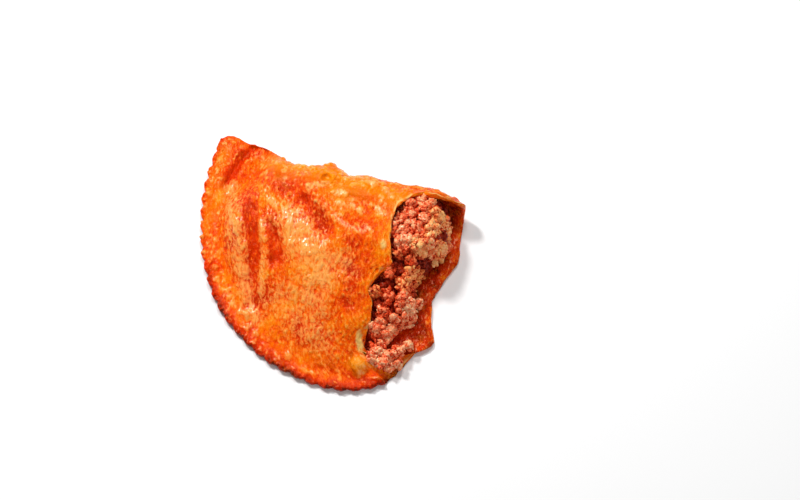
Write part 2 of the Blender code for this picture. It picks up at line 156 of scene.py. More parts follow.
def coons(fold: Array, rim: Array, tear: Array, u: Array,
          v: Array) -> Array:
    """Return the plan grid between the fold, the rim and a torn edge.

    Args:
        fold: Points along the fold, one for each share in u.
        rim: Points along the rim, one for each share in u.
        tear: Points along the torn edge, one for each share in v.
        u: Shares from the corner to the torn end.
        v: Shares from the fold to the rim.
    """
    v = v[None, :, None]
    straight = fold[:, None, :] * (1.0 - v) + rim[:, None, :] * v
    ends = tear[:1][None] * (1.0 - v) + tear[-1:][None] * v
    return straight + (tear[None] - ends) * (u ** 3)[:, None, None]


def add_object(name: str, data: bpy.types.ID) -> bpy.types.Object:
    """Return a new object of some data, linked to the scene."""
    item = bpy.data.objects.new(name, data)
    bpy.context.scene.collection.objects.link(item)
    return item


@dataclass(frozen=True)
class Patch:
    """A soft oval mark in plan: a fold, a dent, a blister, a stain, or a patch of painted shade or
    painted sheen.

    Attributes:
        x: Centre along the fold.
        y: Centre away from the fold.
        half_x: Half length.
        half_y: Half width.
        turn: Turn of its length from +X, in degrees.
        amount: Height in millimetres, or strength of the colour mark: a stain, painted shade or
            painted sheen.
    """

    x: float
    y: float
    half_x: float
    half_y: float
    turn: float
    amount: float

    def at(self, plan: Array) -> Array:
        """Return the mark's value at plan points."""
        c, s = math.cos(math.radians(self.turn)), math.sin(math.radians(self.turn))
        dx, dy = plan[:, 0] - self.x, plan[:, 1] - self.y
        a, b = (dx * c + dy * s) / self.half_x, (dy * c - dx * s) / self.half_y
        return self.amount * np.exp(-(a * a + b * b))


@dataclass(frozen=True)
class Crease:
    """A long soft mark that follows a line in plan: a valley, a ridge, a scorched streak, or a
    streak of painted shade or painted sheen.

    Attributes:
        line: Plan points of its middle.
        half_width: How far it reaches to each side.
        amount: Height in millimetres, or strength of the colour mark: a stain, painted shade or
            painted sheen.
    """

    line: tuple[tuple[float, float], ...]
    half_width: float
    amount: float

    def at(self, plan: Array) -> Array:
        """Return the mark's value at plan points."""
        best = np.full(len(plan), FAR)
        for start, end in zip(self.line[:-1], self.line[1:]):
            a, run = np.array(start), np.subtract(end, start)
            t = np.clip((plan - a) @ run / (run @ run), 0.0, 1.0)
            best = np.minimum(best, np.hypot(*(plan - a - t[:, None] * run).T))
        return self.amount * bell(best, 0.0, self.half_width)


def total(marks: Sequence[Patch | Crease], plan: Array) -> Array:
    """Return the sum of several marks at plan points."""
    value = np.zeros(len(plan))
    for mark in marks:
        value += mark.at(plan)
    return value


# Lines that both the folds and the crust's browned colour, painted shade and painted sheen follow
FLAP = ((18.5, -0.6), (14.8, -9.5), (12.8, -20.4), (11.5, -27.9))
FLAP_SHOULDER = ((22.5, -3), (18.8, -12), (16.6, -22), (15.4, -31))
LONG_VALLEY = ((28.5, -37.5), (34.7, -48.8), (41.1, -60.3), (42.9, -70.5), (45.3, -80.7),
               (50.6, -89.4))
SHORT_VALLEY = ((45.2, -47.4), (50.2, -53.8), (54.2, -60.3), (54.3, -67.1))
LEFT_SLOPE = ((21.9, -39.9), (31.1, -59.7), (38.4, -74.1), (44.9, -86.3))
MIDDLE_RIDGE = ((40.7, -47.8), (46, -59.6), (50.3, -72), (53, -83))
RIGHT_RIDGE = ((49.2, -37.5), (55.2, -46.8), (61, -56.8))
TOP_RIDGE = ((36.7, -33.2), (41.8, -34.6), (47.2, -36.8))
SWELL_EDGE = ((57, -25), (66.5, -30.5), (75.5, -35), (84, -38.5), (96, -40))
SHADED_HOLLOW = ((58, -31), (64.5, -34.6), (69.9, -39.6), (74, -44.8), (78, -49.8))
LEFT_FURROW = ((28.9, -13.9), (46.8, -19.2))
RIGHT_FURROW = ((80.8, -18.4), (93.6, -18.9))
LIP_DENT = ((102.8, -78.3), (97.8, -77))

# Short wrinkles on the fold: line, half width and height, then half width and strength of the
# painted sheen, a painted highlight, on the crest
SHORT_WRINKLES = (
    (((72.1, -5.3), (77, -6.1)), 1.5, 0.7, 1.6, 1),
    (((79.7, -6.9), (90.6, -10.2)), 1.4, 0.6, 1.4, 0.9),
    (((98.4, -11.4), (103.4, -14.1)), 1.5, 0.7, 1.5, 0.9),
    (((98.6, -23.5), (102.9, -25.9)), 1.5, 0.7, 1.6, 1),
    (((84.8, -26.4), (91.3, -28.6)), 1.5, 0.6, 1.5, 0.9),
    (((95.3, -35.7), (99.6, -37.1)), 1.5, 0.6, 1.5, 0.8))


# ------------------------------------------------------------------ shape of the pastry


@dataclass
class HalfMoon:
    """The pastry's plan and heights, in millimetres.

    Attributes:
        shift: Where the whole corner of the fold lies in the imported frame.
        half_chord: Half the length that the fold has when whole.
        rim_power: How square the half-moon's outline is; 2 is an ellipse.
        fold_waves: Bends of the fold's outline, as centre, reach and offset.
        pull_start: Where the rim begins to draw back toward the torn end.
        band: Width of the sealed rim; it is wider by band_at_corner in the whole corner.
        rise_side: Way in from the band over which the body rises, at the corner's side.
        rise_front: The same along the front.
        nose_full: Height at which top and underside meet in the fold.
        seal_start: Run along the rim at which the pocket begins.
        seal_inset: How far behind the band the two skins part.
        fold_gap: Room between the fold's skin and the pocket, over the skin's thickness.
        relief: Broad swells and dents of the top.
    """

    shift: tuple[float, float] = (-74.658, 59.656)
    half_chord: float = 101.0
    rim_depth: float = 122.0
    rim_power: float = 2.2
    fold_run: float = 140.6
    fold_end_y: float = -1.2
    rim_end_x: float = 132.5
    pull_start: float = 100.0
    pull_run: float = 32.5
    pull: float = 8.5
    fold_waves: tuple[tuple[float, float, float], ...] = (
        (7, 8, 3.3), (24, 8, 1.3), (46, 14, -5.6), (66, 6.5, 1.6), (75.5, 6.5, -4.2),
        (126, 20, 4.2))
    tooth_pitch: float = 8.4
    tooth_depth: float = 1.5
    rim_thick: float = 2.7
    rim_lift: float = 0.4
    band: float = 9.5
    band_at_corner: float = 17.0
    corner_run: float = 46.0
    body_low: float = 13.5
    body_high: float = 24.5
    rise_side: float = 15.0
    rise_front: float = 80.0
    nose_corner: float = 2.4
    nose_full: float = 10.0
    nose_top_run: float = 17.0
    nose_sole_run: float = 10.0
    skin: float = 1.7
    seal_start: float = 12.0
    seal_inset: float = 3.0
    fold_gap: float = 0.6
    outline_steps: int = 1600
    sample_count: int = 110
    relief: tuple[Patch, ...] = (
        Patch(43, -64, 23, 4, -70, -1.4), Patch(53.5, -57.7, 13, 3.4, -70, -1),
        Patch(48.5, -58, 32, 3.4, -71, 1), Patch(35, -52, 26, 4, -72, 0.9),
        Patch(62, -66, 24, 4, -66, 0.6), Patch(73, -31, 17, 3.4, -36, 1.4),
        Patch(98, -41, 15, 3.6, -8, 1.2), Patch(72, -40, 9, 6, -30, -1.6),
        Patch(92, -60, 14, 9, -12, -1.2), Patch(66.6, -13.6, 5, 4, 0, 1.2),
        Patch(66.6, -13.6, 2.6, 2, 0, -1.9), Patch(52, -18, 5, 4, 20, 0.9),
        Patch(86, -16, 6, 4, 10, 0.8), Patch(108, -86, 7, 8, 0, 2.2),
        Patch(115.4, -106, 4.6, 4.2, 0, 1.6), Patch(88, -97, 6, 4, 15, 0.8),
        Patch(70, -92, 9, 4, -40, 0.8), Patch(14.5, -54.7, 3.4, 3, 0, 0.7),
        Patch(12, -38, 3, 2.6, 0, 0.6), Patch(26, -78, 4, 3, 30, 0.6))
    table: Array = field(init=False)
    samples: Array = field(init=False)
    rim_run: float = field(init=False)

    def __post_init__(self) -> None:
        """Lay out the rim once, as runs, points and outward normals."""
        count = self.outline_steps
        angle = np.linspace(0.0, math.pi, count + 1)
        c, s = np.cos(angle), np.abs(np.sin(angle))
        x = self.half_chord * (1.0 - np.sign(c) * np.abs(c) ** (2.0 / self.rim_power))
        pulled = self.pull * np.clip((x - self.pull_start) / self.pull_run, 0.0, 1.0) ** 2.5
        points = np.column_stack([x, -(self.rim_depth - pulled) * s ** (2.0 / self.rim_power)])
        steps = np.hypot(*np.diff(points, axis=0).T)
        run = np.concatenate([[0.0], np.cumsum(steps)])
        low = np.clip(np.arange(count + 1) - 12, 0, count)
        high = np.clip(np.arange(count + 1) + 13, 0, count)
        tangent = points[high] - points[low]
        tangent /= np.linalg.norm(tangent, axis=1, keepdims=True)
        self.table = np.column_stack([run, points, tangent[:, 1], -tangent[:, 0]])
        self.rim_run = float(run[np.argmax(x >= self.rim_end_x)])
        runs = run[-1] * (np.arange(self.sample_count) + 0.5) / self.sample_count
        at, _ = self.rim(runs)
        self.samples = np.column_stack([at, self.band_at(runs), self.rise_at(runs)])

    def rim(self, run: Array) -> tuple[Array, Array]:
        """Return the plain rim's points and outward normals at runs from the corner."""
        parts = [np.interp(run, self.table[:, 0], self.table[:, i]) for i in range(1, 5)]
        return np.column_stack(parts[:2]), np.column_stack(parts[2:])

    def band_at(self, run: Array) -> Array:
        """Return the width of the sealed band along the rim."""
        return self.band + self.band_at_corner * smooth(1.0 - run / self.corner_run * 0.9)

    def rise_at(self, run: Array) -> Array:
        """Return how far in from the band the body reaches its height."""
        return mix(self.rise_side, self.rise_front, onset(run, 55.0, 95.0))

    def fold_y(self, x: Array) -> Array:
        """Return the y of the fold at x."""
        y = self.fold_end_y * smooth(x / self.fold_run)
        for centre, reach, offset in self.fold_waves:
            y = y + offset * bell(x, centre, reach)
        return y * smooth(x / 3.4) * (1.0 - 0.7 * onset(x, 134.0, 8.0))

    def inward(self, plan: Array) -> tuple[Array, Array]:
        """Return the share of the body's rise and the distance to the rim."""
        share, near = np.empty(len(plan)), np.empty(len(plan))
        for start in range(0, len(plan), CHUNK):
            chunk = slice(start, start + CHUNK)
            part = plan[chunk]
            d = np.hypot(part[:, :1] - self.samples[:, 0], part[:, 1:2] - self.samples[:, 1])
            rise = (d - self.samples[:, 2]) / self.samples[:, 3]
            weight = np.exp(-14.0 * np.minimum(rise, 3.0))
            share[chunk] = (rise * weight).sum(1) / weight.sum(1)
            near[chunk] = d.min(1)
        return np.clip(share, 0.0, 1.0), near

    def top_plain(self, plan: Array) -> Array:
        """Return the top's height before its ends are rounded off."""
        share, _ = self.inward(plan)
        x, y = plan[:, 0], plan[:, 1]
        high = mix(self.body_low, self.body_high, onset(x, 18.0, 66.0))
        power = mix(1.0, 1.4, smooth(x / 60.0))
        body = high * np.sin(0.5 * math.pi * share) ** power
        wave = 0.25 * np.sin(x * 0.21) * np.sin(y * 0.17 + 0.6)
        flat = np.column_stack([x / 13.0, y / 13.0, np.full(len(x), 4.0)]).tolist()
        slow = 0.55 * np.array([noise.noise(row) for row in flat])
        folds = (total(self.relief, plan) + slow) * smooth(share * 8.0 + 0.35)
        return self.rim_lift + self.rim_thick + wave + body + folds

    def sole_plain(self, plan: Array) -> Array:
        """Return the underside's height before its ends are rounded off."""
        _, near = self.inward(plan)
        x, y = plan[:, 0], plan[:, 1]
        wave = 0.125 + 0.125 * np.sin(x * 0.21 + 0.4) * np.sin(y * 0.17 + 0.6)
        return (self.rim_lift + wave) * (1.0 - smooth((near - self.band) / 14.0))

    def edge(self, plan: Array, near: Array, back: Array) -> Array:
        """Return the height where top and underside meet."""
        nose = mix(self.nose_corner, self.nose_full, onset(plan[:, 0], 8.0, 38.0))
        rim = self.rim_lift + 0.5 * self.rim_thick + 0.2
        near, back = near + 0.01, back + 0.01
        return (nose * near + rim * back) / (near + back)

    def nose_run(self, x: Array, full: float) -> Array:
        """Return how far from the fold the surface takes to round over."""
        return mix(2.6, full, onset(x, 10.0, 34.0))

    def outer(self, plan: Array, side: Side, v: Array) -> Array:
        """Return the outer skin's height at plan points, v their share from fold to rim."""
        _, near = self.inward(plan)
        near = np.where(v >= 1.0, 0.0, near)
        back = np.where(v <= 0.0, 0.0, np.maximum(0.0, self.fold_y(plan[:, 0]) - plan[:, 1]))
        full = self.nose_top_run if side is Side.TOP else self.nose_sole_run
        target = self.top_plain(plan) if side is Side.TOP else self.sole_plain(plan)
        ends = quarter(back, self.nose_run(plan[:, 0], full)) * quarter(near, 1.35)
        return mix(self.edge(plan, near, back), target, ends)

    def inner(self, plan: Array, side: Side, v: Array, back: Array,
              depth: Array, inset: float) -> Array:
        """Return the height of the pocket's wall, or of what fills it, set in by a margin."""
        floor = self.sole_plain(plan) + self.skin + inset
        target = floor
        if side is Side.TOP:
            z = self.top_plain(plan)
            slope = np.hypot(self.top_plain(plan + [1.0, 0.0]) - z,
                             self.top_plain(plan + [0.0, 1.0]) - z)
            thick = (self.skin + inset) * np.minimum(2.2, np.hypot(1.0, slope))
            target = np.maximum(floor + np.minimum(0.4 * depth, 1.0), z - thick)
        full = self.nose_top_run if side is Side.TOP else self.nose_sole_run
        full = full - self.skin - inset
        edge = np.maximum(floor + 0.3, self.edge(plan, np.full(len(plan), 60.0), back))
        ends = quarter(back, np.maximum(2.0, self.nose_run(plan[:, 0], full)))
        ends = ends * quarter(depth, 2.0)
        z = mix(mix(floor + 0.15, edge, smooth(depth / 20.0)), target, ends)
        return np.where(v <= 0.0, edge, np.where(v >= 1.0, floor + 0.15, z))

    def seal(self, run: Array, more: float | Array = 0.0) -> Array:
        """Return the plan line where the two skins part, or one further in."""
        point, normal = self.rim(run)
        return point - normal * (self.band_at(run) + (self.seal_inset + more))[:, None]

    def mouth_x(self) -> float:
        """Return the x at which the pocket's back ends."""
        return self.fold_run - 1.2

    def before_back(self, sheet: Sheet, back: float) -> Array:
        """Return how far a sheet's points lie before the pocket's back, zero in column one."""
        gap = np.maximum(0.0, self.fold_y(sheet.x) - back - sheet.y)
        return np.where(sheet.v <= 0.0, 0.0, gap)

    def place(self, plan: Array, z: Array) -> Array:
        """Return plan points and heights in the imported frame, still in millimetres."""
        return np.column_stack([plan[:, 0] + self.shift[0], plan[:, 1] + self.shift[1], z])


class Sheet:
    """A grid of points in rows from the corner to the torn end, with its marks."""

    def __init__(self, plan: Array, v: Array) -> None:
        """Keep the plan points, shaped (rows, columns, 2), and each one's share v."""
        self.rows, self.columns = plan.shape[:2]
        self.plan = plan.reshape(-1, 2)
        self.x, self.y = self.plan[:, 0], self.plan[:, 1]
        self.v = np.broadcast_to(v, (self.rows, self.columns)).reshape(-1)
        self.points = np.zeros((len(self.plan), 3))
        self.marks: dict[str, Array] = {}
        self.index = np.zeros((self.rows, self.columns), dtype=int)

    def grid(self) -> Array:
        """Return the points by row and column."""
        return self.points.reshape(self.rows, self.columns, 3)

    def normals(self) -> Array:
        """Return upward unit normals of the grid."""
        du, dv = np.gradient(self.grid(), axis=0), np.gradient(self.grid(), axis=1)
        cross = np.cross(dv, du).reshape(-1, 3)
        length = np.maximum(np.linalg.norm(cross, axis=1, keepdims=True), 1e-9)
        return cross / length

    def before_seal(self, line: Array) -> Array:
        """Return the points' distances to a line of points, zero in the last column."""
        return np.where(self.v >= 1.0, 0.0, nearest(line, self.plan))


class Shell:
    """Collects sheets into one closed mesh that shares the points they meet in."""

    def __init__(self) -> None:
        """Start empty."""
        self.points: list[Array] = []
        self.marks: list[dict[str, Array]] = []
        self.faces: list[tuple[int, ...]] = []
        self.count = 0

    def add(self, sheet: Sheet) -> None:
        """Number a sheet's points and keep them."""
        size = sheet.rows * sheet.columns
        sheet.index = np.arange(self.count, self.count + size).reshape(sheet.rows, -1)
        self.points.append(sheet.points)
        self.marks.append(sheet.marks)
        self.count += size

    def strip(self, first: Sequence[int], second: Sequence[int]) -> None:
        """Close the quads between two lines of points, dropping those with no width."""
        for i in range(len(first) - 1):
            quad = (first[i], second[i], second[i + 1], first[i + 1])
            kept = tuple(dict.fromkeys(quad))
            if len(kept) > 2:
                self.faces.append(kept)

    def skin(self, sheet: Sheet, turned: bool) -> None:
        """Close a sheet's own quads."""
        for a, b in zip(sheet.index[:-1], sheet.index[1:]):
            if turned:
                self.strip(b, a)
            else:
                self.strip(a, b)

    @staticmethod
    def sew(upper: Sheet, lower: Sheet) -> None:
        """Join two sheets along both sides and close them in the corner."""
        lower.index[:, 0] = upper.index[:, 0]
        lower.index[:, -1] = upper.index[:, -1]
        upper.index[0, :] = upper.index[0, 0]
        lower.index[0, :] = upper.index[0, 0]

    def mesh(self, name: str) -> bpy.types.Object:
        """Return the shell as an object in metres, with its marks as point attributes."""
        points = np.concatenate(self.points) * MM
        used = np.zeros(self.count, dtype=bool)
        used[np.array([i for face in self.faces for i in face])] = True
        renumber = np.cumsum(used) - 1
        faces = [tuple(int(renumber[i]) for i in face) for face in self.faces]
        mesh = bpy.data.meshes.new(name)
        mesh.from_pydata(points[used].tolist(), [], faces)
        for key in self.marks[0]:
            values = np.concatenate([marks[key] for marks in self.marks])[used]
            layer = mesh.attributes.new(key, "FLOAT", "POINT")
            layer.data.foreach_set("value", values.astype(np.float32))
        mesh.shade_smooth()
        mesh.validate()
        return add_object(name, mesh)


# ------------------------------------------------------------------------- shader graph


class Wire:
    """A value in a node tree; arithmetic on it adds Math nodes."""

    def __init__(self, graph: "Graph", socket: bpy.types.NodeSocket) -> None:
        """Wrap an output socket."""
        self.graph, self.socket = graph, socket

    def math(self, operation: str, *values: "Wire | float") -> "Wire":
        """Return a Math node's result for this value and others."""
        inputs = dict(enumerate((self, *values)))
        return self.graph.node("ShaderNodeMath", {"operation": operation}, inputs)["Value"]

    def __add__(self, other: "Wire | float") -> "Wire":
        """Add."""
        return self.math("ADD", other)

    __radd__ = __add__

    def __sub__(self, other: "Wire | float") -> "Wire":
        """Subtract."""
        return self.math("SUBTRACT", other)

    def __mul__(self, other: "Wire | float") -> "Wire":
        """Multiply."""
        return self.math("MULTIPLY", other)

    def clamp(self) -> "Wire":
        """Limit to 0..1."""
        return self.math("MINIMUM", 1.0).math("MAXIMUM", 0.0)

    def ease(self, low: float, high: float) -> "Wire":
        """Return the smooth 0..1 rise between two values."""
        inputs = {"Value": self, "From Min": low, "From Max": high}
        settings = {"interpolation_type": "SMOOTHSTEP"}
        return self.graph.node("ShaderNodeMapRange", settings, inputs)["Result"]


class Made:
    """A node that was added, read by its outputs' names."""

    def __init__(self, graph: "Graph", node: bpy.types.Node) -> None:
        """Wrap a node."""
        self.graph, self.item = graph, node

    def __getitem__(self, key: str) -> Wire:
        """Return an output by identifier or name."""
        for output in self.item.outputs:
            if output.identifier == key and output.enabled:
                return Wire(self.graph, output)
        for output in self.item.outputs:
            if output.name == key and output.enabled:
                return Wire(self.graph, output)
        raise KeyError(f"{self.item.bl_idname} has no output {key}")


class Graph:
    """Adds nodes to a tree."""

    def __init__(self, tree: bpy.types.NodeTree) -> None:
        """Wrap a tree."""
        self.tree = tree

    def node(self, kind: str, settings: dict[str, Any] | None = None,
             inputs: dict[str | int, Any] | None = None) -> Made:
        """Add one node.

        Args:
            kind: The node's type.
            settings: Its own properties, set first; "stops" fills a ramp.
            inputs: Values or wires for its sockets, by identifier, name or place.

        Returns:
            The node, read by its outputs' names.
        """
        node = self.tree.nodes.new(kind)
        for key, value in (settings or {}).items():
            if key == "stops":
                ends = node.color_ramp.elements
                ends[0].position, ends[1].position = value[0][0], value[-1][0]
                for position, _ in value[1:-1]:
                    ends.new(position)
                for element, (_, colour) in zip(ends, value):
                    element.color = (*colour, 1.0)
            else:
                setattr(node, key, value)
        for key, value in (inputs or {}).items():
            self.feed(self.socket(node, key), value)
        return Made(self, node)

    @staticmethod
    def socket(node: bpy.types.Node, key: str | int) -> bpy.types.NodeSocket:
        """Return an input by place, identifier or name."""
        if isinstance(key, int):
            return node.inputs[key]
        for wanted in ("identifier", "name"):
            for socket in node.inputs:
                if getattr(socket, wanted) == key and socket.enabled:
                    return socket
        raise KeyError(f"{node.bl_idname} has no input {key}")

    def feed(self, socket: bpy.types.NodeSocket, value: Any) -> None:
        """Link a wire to an input, or set its value."""
        if isinstance(value, list):
            for part in value:
                self.feed(socket, part)
        elif isinstance(value, Wire):
            self.tree.links.new(value.socket, socket)
        elif isinstance(value, tuple) and len(value) == 3 and socket.type == "RGBA":
            socket.default_value = (*value, 1.0)
        else:
            socket.default_value = value

    def mark(self, name: str) -> Wire:
        """Return a point attribute."""
        return self.node("ShaderNodeAttribute", {"attribute_name": name})["Fac"]

    def blend(self, factor: Wire | float, first: Any, second: Any) -> Wire:
        """Return one colour mixed into another."""
        inputs = {"Factor_Float": factor, "A_Color": first, "B_Color": second}
        return self.node("ShaderNodeMix", {"data_type": "RGBA"}, inputs)["Result_Color"]

    def ramp(self, factor: Wire, stops: list[tuple[float, Colour]]) -> Wire:
        """Return a colour read from (position, colour) stops."""
        return self.node("ShaderNodeValToRGB", {"stops": stops}, {"Fac": factor})["Color"]

    def grain(self, where: Wire, scale: float, detail: float, rough: float) -> Wire:
        """Return noise of a scale in waves a metre."""
        inputs = {"Vector": where, "Scale": scale, "Detail": detail, "Roughness": rough}
        return self.node("ShaderNodeTexNoise", {}, inputs)["Fac"]

    def cells(self, where: Wire, scale: float, soft: float) -> Wire:
        """Return the distance to the middle of soft cells of a scale in cells a metre."""
        inputs = {"Vector": where, "Scale": scale, "Smoothness": soft}
        return self.node("ShaderNodeTexVoronoi", {"feature": "SMOOTH_F1"}, inputs)["Distance"]

    def moved(self, vector: Any, by: Any) -> Wire:
        """Return a vector with another added."""
        inputs = {0: vector, 1: by}
        return self.node("ShaderNodeVectorMath", {"operation": "ADD"}, inputs)["Vector"]

    def scaled(self, vector: Any, factor: Wire | float) -> Wire:
        """Return a vector times a number."""
        inputs = {0: vector, "Scale": factor}
        return self.node("ShaderNodeVectorMath", {"operation": "SCALE"}, inputs)["Vector"]

    def bump(self, height: Wire, distance: float) -> Wire:
        """Return a normal pushed by a height of 1 standing for a distance in metres."""
        inputs = {"Strength": 0.9, "Distance": distance, "Height": height}
        return self.node("ShaderNodeBump", {}, inputs)["Normal"]

    def surface(self, inputs: dict[str, Any]) -> None:
        """Finish a material with a principled surface."""
        shader = self.node("ShaderNodeBsdfPrincipled", {}, inputs)["BSDF"]
        self.node("ShaderNodeOutputMaterial", {}, {"Surface": shader})


def new_material(name: str) -> tuple[bpy.types.Material, Graph]:
    """Return an empty material and its graph."""
    made = bpy.data.materials.new(name)
    made.use_nodes = True
    made.node_tree.nodes.clear()
    return made, Graph(made.node_tree)


@dataclass(frozen=True)
class FriedCrust:
    """Fried dough: golden where thin, orange over the body, red-brown where it caught, with painted
    shade in its furrows and a painted sheen on its crests.
    """

    light: Colour = srgb(255, 158, 34)
    orange: Colour = srgb(252, 122, 4)
    deep: Colour = srgb(242, 84, 0)
    red: Colour = srgb(218, 48, 0)
    brown: Colour = srgb(168, 26, 0)
    char: Colour = srgb(104, 16, 3)
    gold: Colour = srgb(254, 150, 4)
    # Colour of the painted sheen, a painted highlight.
    peach: Colour = srgb(255, 170, 84)
    cream: Colour = srgb(236, 186, 104)
    sheen: Colour = (1.0, 0.62, 0.26)
    roughness: float = 0.16
    run_of_wrinkles: float = 19.2
    stretch: tuple[float, float, float] = (1.0, 1.9, 1.0)
    wander: float = 0.0016

    def material(self) -> bpy.types.Material:
        """Return the crust's material."""
        made, g = new_material("fried_crust")
        where = g.node("ShaderNodeTexCoord")["Object"]
        along_grain = g.node("ShaderNodeMapping", {"vector_type": "TEXTURE"}, {
            "Vector": where, "Rotation": (0.0, 0.0, math.radians(self.run_of_wrinkles)),
            "Scale": self.stretch})["Vector"]
        broad = g.grain(where, 60.0, 3.0, 0.55)
        mottle = g.grain(where, 210.0, 4.0, 0.62)
        speck = g.grain(where, 1500.0, 3.0, 0.6)
        drift = g.node("ShaderNodeTexNoise", {}, {
            "Vector": where, "Scale": 420.0, "Detail": 2.0})["Color"]
        crooked = g.moved(along_grain, g.scaled(drift, self.wander))
        skin = g.mark("skin")
        gap = (g.grain(crooked, 760.0, 4.0, 0.6).ease(0.3, 0.7) - 0.5) * skin
        pimple = g.cells(crooked, 620.0, 0.6)
        # Browned colour plus painted shade: the gap and pimple terms darken the fine furrows and the
        # cells' low edges.
        heat_and_shading = g.mark("browning") + (broad - 0.5) * 0.7 + (mottle - 0.5) * 0.5
        heat_and_shading = heat_and_shading + (speck - 0.5) * 0.4 + gap * 0.27 + (pimple - 0.45) * 0.1 * skin
        base = g.ramp(heat_and_shading.clamp(), [(0.12, self.light), (0.32, self.orange), (0.50, self.deep),
                                     (0.66, self.red), (0.92, self.brown), (1.0, self.char)])
        gold = g.mark("gold") + (mottle - 0.5) * 0.6 + (broad - 0.5) * 0.9 - gap * 0.3 - 0.08
        base = g.blend(gold.clamp() * 0.9, base, self.gold)
        # Painted sheen: a peach painted highlight over the sheen marks, kept out of the furrows.
        bloom = g.mark("bloom") * 1.15 - heat_and_shading.ease(0.6, 0.8) * 0.3 - 0.16
        bloom = bloom + (broad - 0.5) * 0.5 + (speck - 0.5) * 0.9 - gap * 1.2
        base = g.blend(bloom.clamp() * 0.85, base, self.peach)
        pale = (g.mark("pale") + (mottle - 0.5) * 0.7 + (speck - 0.5) * 0.5).ease(0.25, 0.85)
        base = g.blend(pale, base, self.cream)
        height = speck * 0.25 - pimple * 0.4 * skin - gap * 0.9 + mottle * 0.4
        rough = self.roughness + (mottle - 0.5) * 0.3 + pale * 0.2
        g.surface({
            "Base Color": base, "Roughness": rough.clamp(), "Normal": g.bump(height, 0.0005),
            "Specular IOR Level": 0.16, "Specular Tint": self.sheen,
            "Coat Weight": (bloom * 0.5 + 0.08).clamp(), "Coat Roughness": 0.2,
            "Subsurface Weight": 0.1, "Subsurface Radius": (1.0, 0.3, 0.08),
            "Subsurface Scale": 0.0012})
        return made


@dataclass(frozen=True)
class CookedMeat:
    """Cooked minced meat: pink-brown grains, moist, tan where fat; the dark red in the gaps is
    painted shade, and the pale tops are partly painted light.
    """

    pale: Colour = srgb(255, 198, 148)
    pink: Colour = srgb(255, 130, 82)
    brown: Colour = srgb(228, 66, 22)
    dark: Colour = srgb(116, 5, 0)
    fat: Colour = srgb(255, 186, 98)
    sheen: Colour = (1.0, 0.68, 0.4)

    def material(self) -> bpy.types.Material:
        """Return the meat's material."""
        made, g = new_material("cooked_meat")
        where = g.node("ShaderNodeTexCoord")["Object"]
        broad = g.grain(where, 110.0, 2.0, 0.5)
        mottle = g.grain(where, 520.0, 4.0, 0.65)
        fine = g.grain(where, 1500.0, 3.0, 0.6)
        curd = g.cells(where, 900.0, 0.4)
        # The tint and tone marks carry painted light and shade by height; the curd term darkens the
        # cells' low edges as painted shade.
        tint = g.mark("tint") * 0.5 + broad * 0.3 + (mottle - 0.5) * 0.8 + 0.1
        tint = (tint - (curd - 0.4) * 0.7) * (g.mark("tone") * 0.85 + 0.15)
        base = g.ramp(tint.clamp(), [(0.06, self.dark), (0.24, self.brown), (0.44, self.pink),
                                     (0.74, self.pale)])
        fat = (g.mark("fat") * 0.75 + g.mark("tint") * 0.35 + (broad - 0.5) * 0.9).ease(0.3, 1.1)
        base = g.blend(fat * tint.ease(0.1, 0.5) * 0.7, base, self.fat)
        height = mottle * 0.6 + fine * 0.2 - curd * 0.6
        rough = 0.42 + (fine - 0.5) * 0.4
        g.surface({
            "Base Color": base, "Roughness": rough.clamp(), "Normal": g.bump(height, 0.0006),
            "Coat Weight": tint.ease(0.15, 0.6) * 0.4, "Coat Roughness": 0.16,
            "Specular IOR Level": 0.3, "IOR": 1.45, "Specular Tint": self.sheen,
            "Subsurface Weight": 0.12, "Subsurface Radius": (1.0, 0.35, 0.2),
            "Subsurface Scale": 0.001})
        return made


# ------------------------------------------------------------------------------- dough


@dataclass(frozen=True)
class Zones:
    """How much each part of the crust's character holds at each point of the top.

    Attributes:
        band: The pressed rim.
        fold: The smooth, blistered swell along the fold.
        left: The wrinkled slope down to the whole corner.
        plain: The rest of the body.
        valley: The furrows, where blisters keep away.
        near: Distance to the rim.
        back: Distance to the fold.
        torn: Distance to the torn edge, in its neighbourhood.
    """

    band: Array
    fold: Array
    left: Array
    plain: Array
    valley: Array
    near: Array
    back: Array
    torn: Array


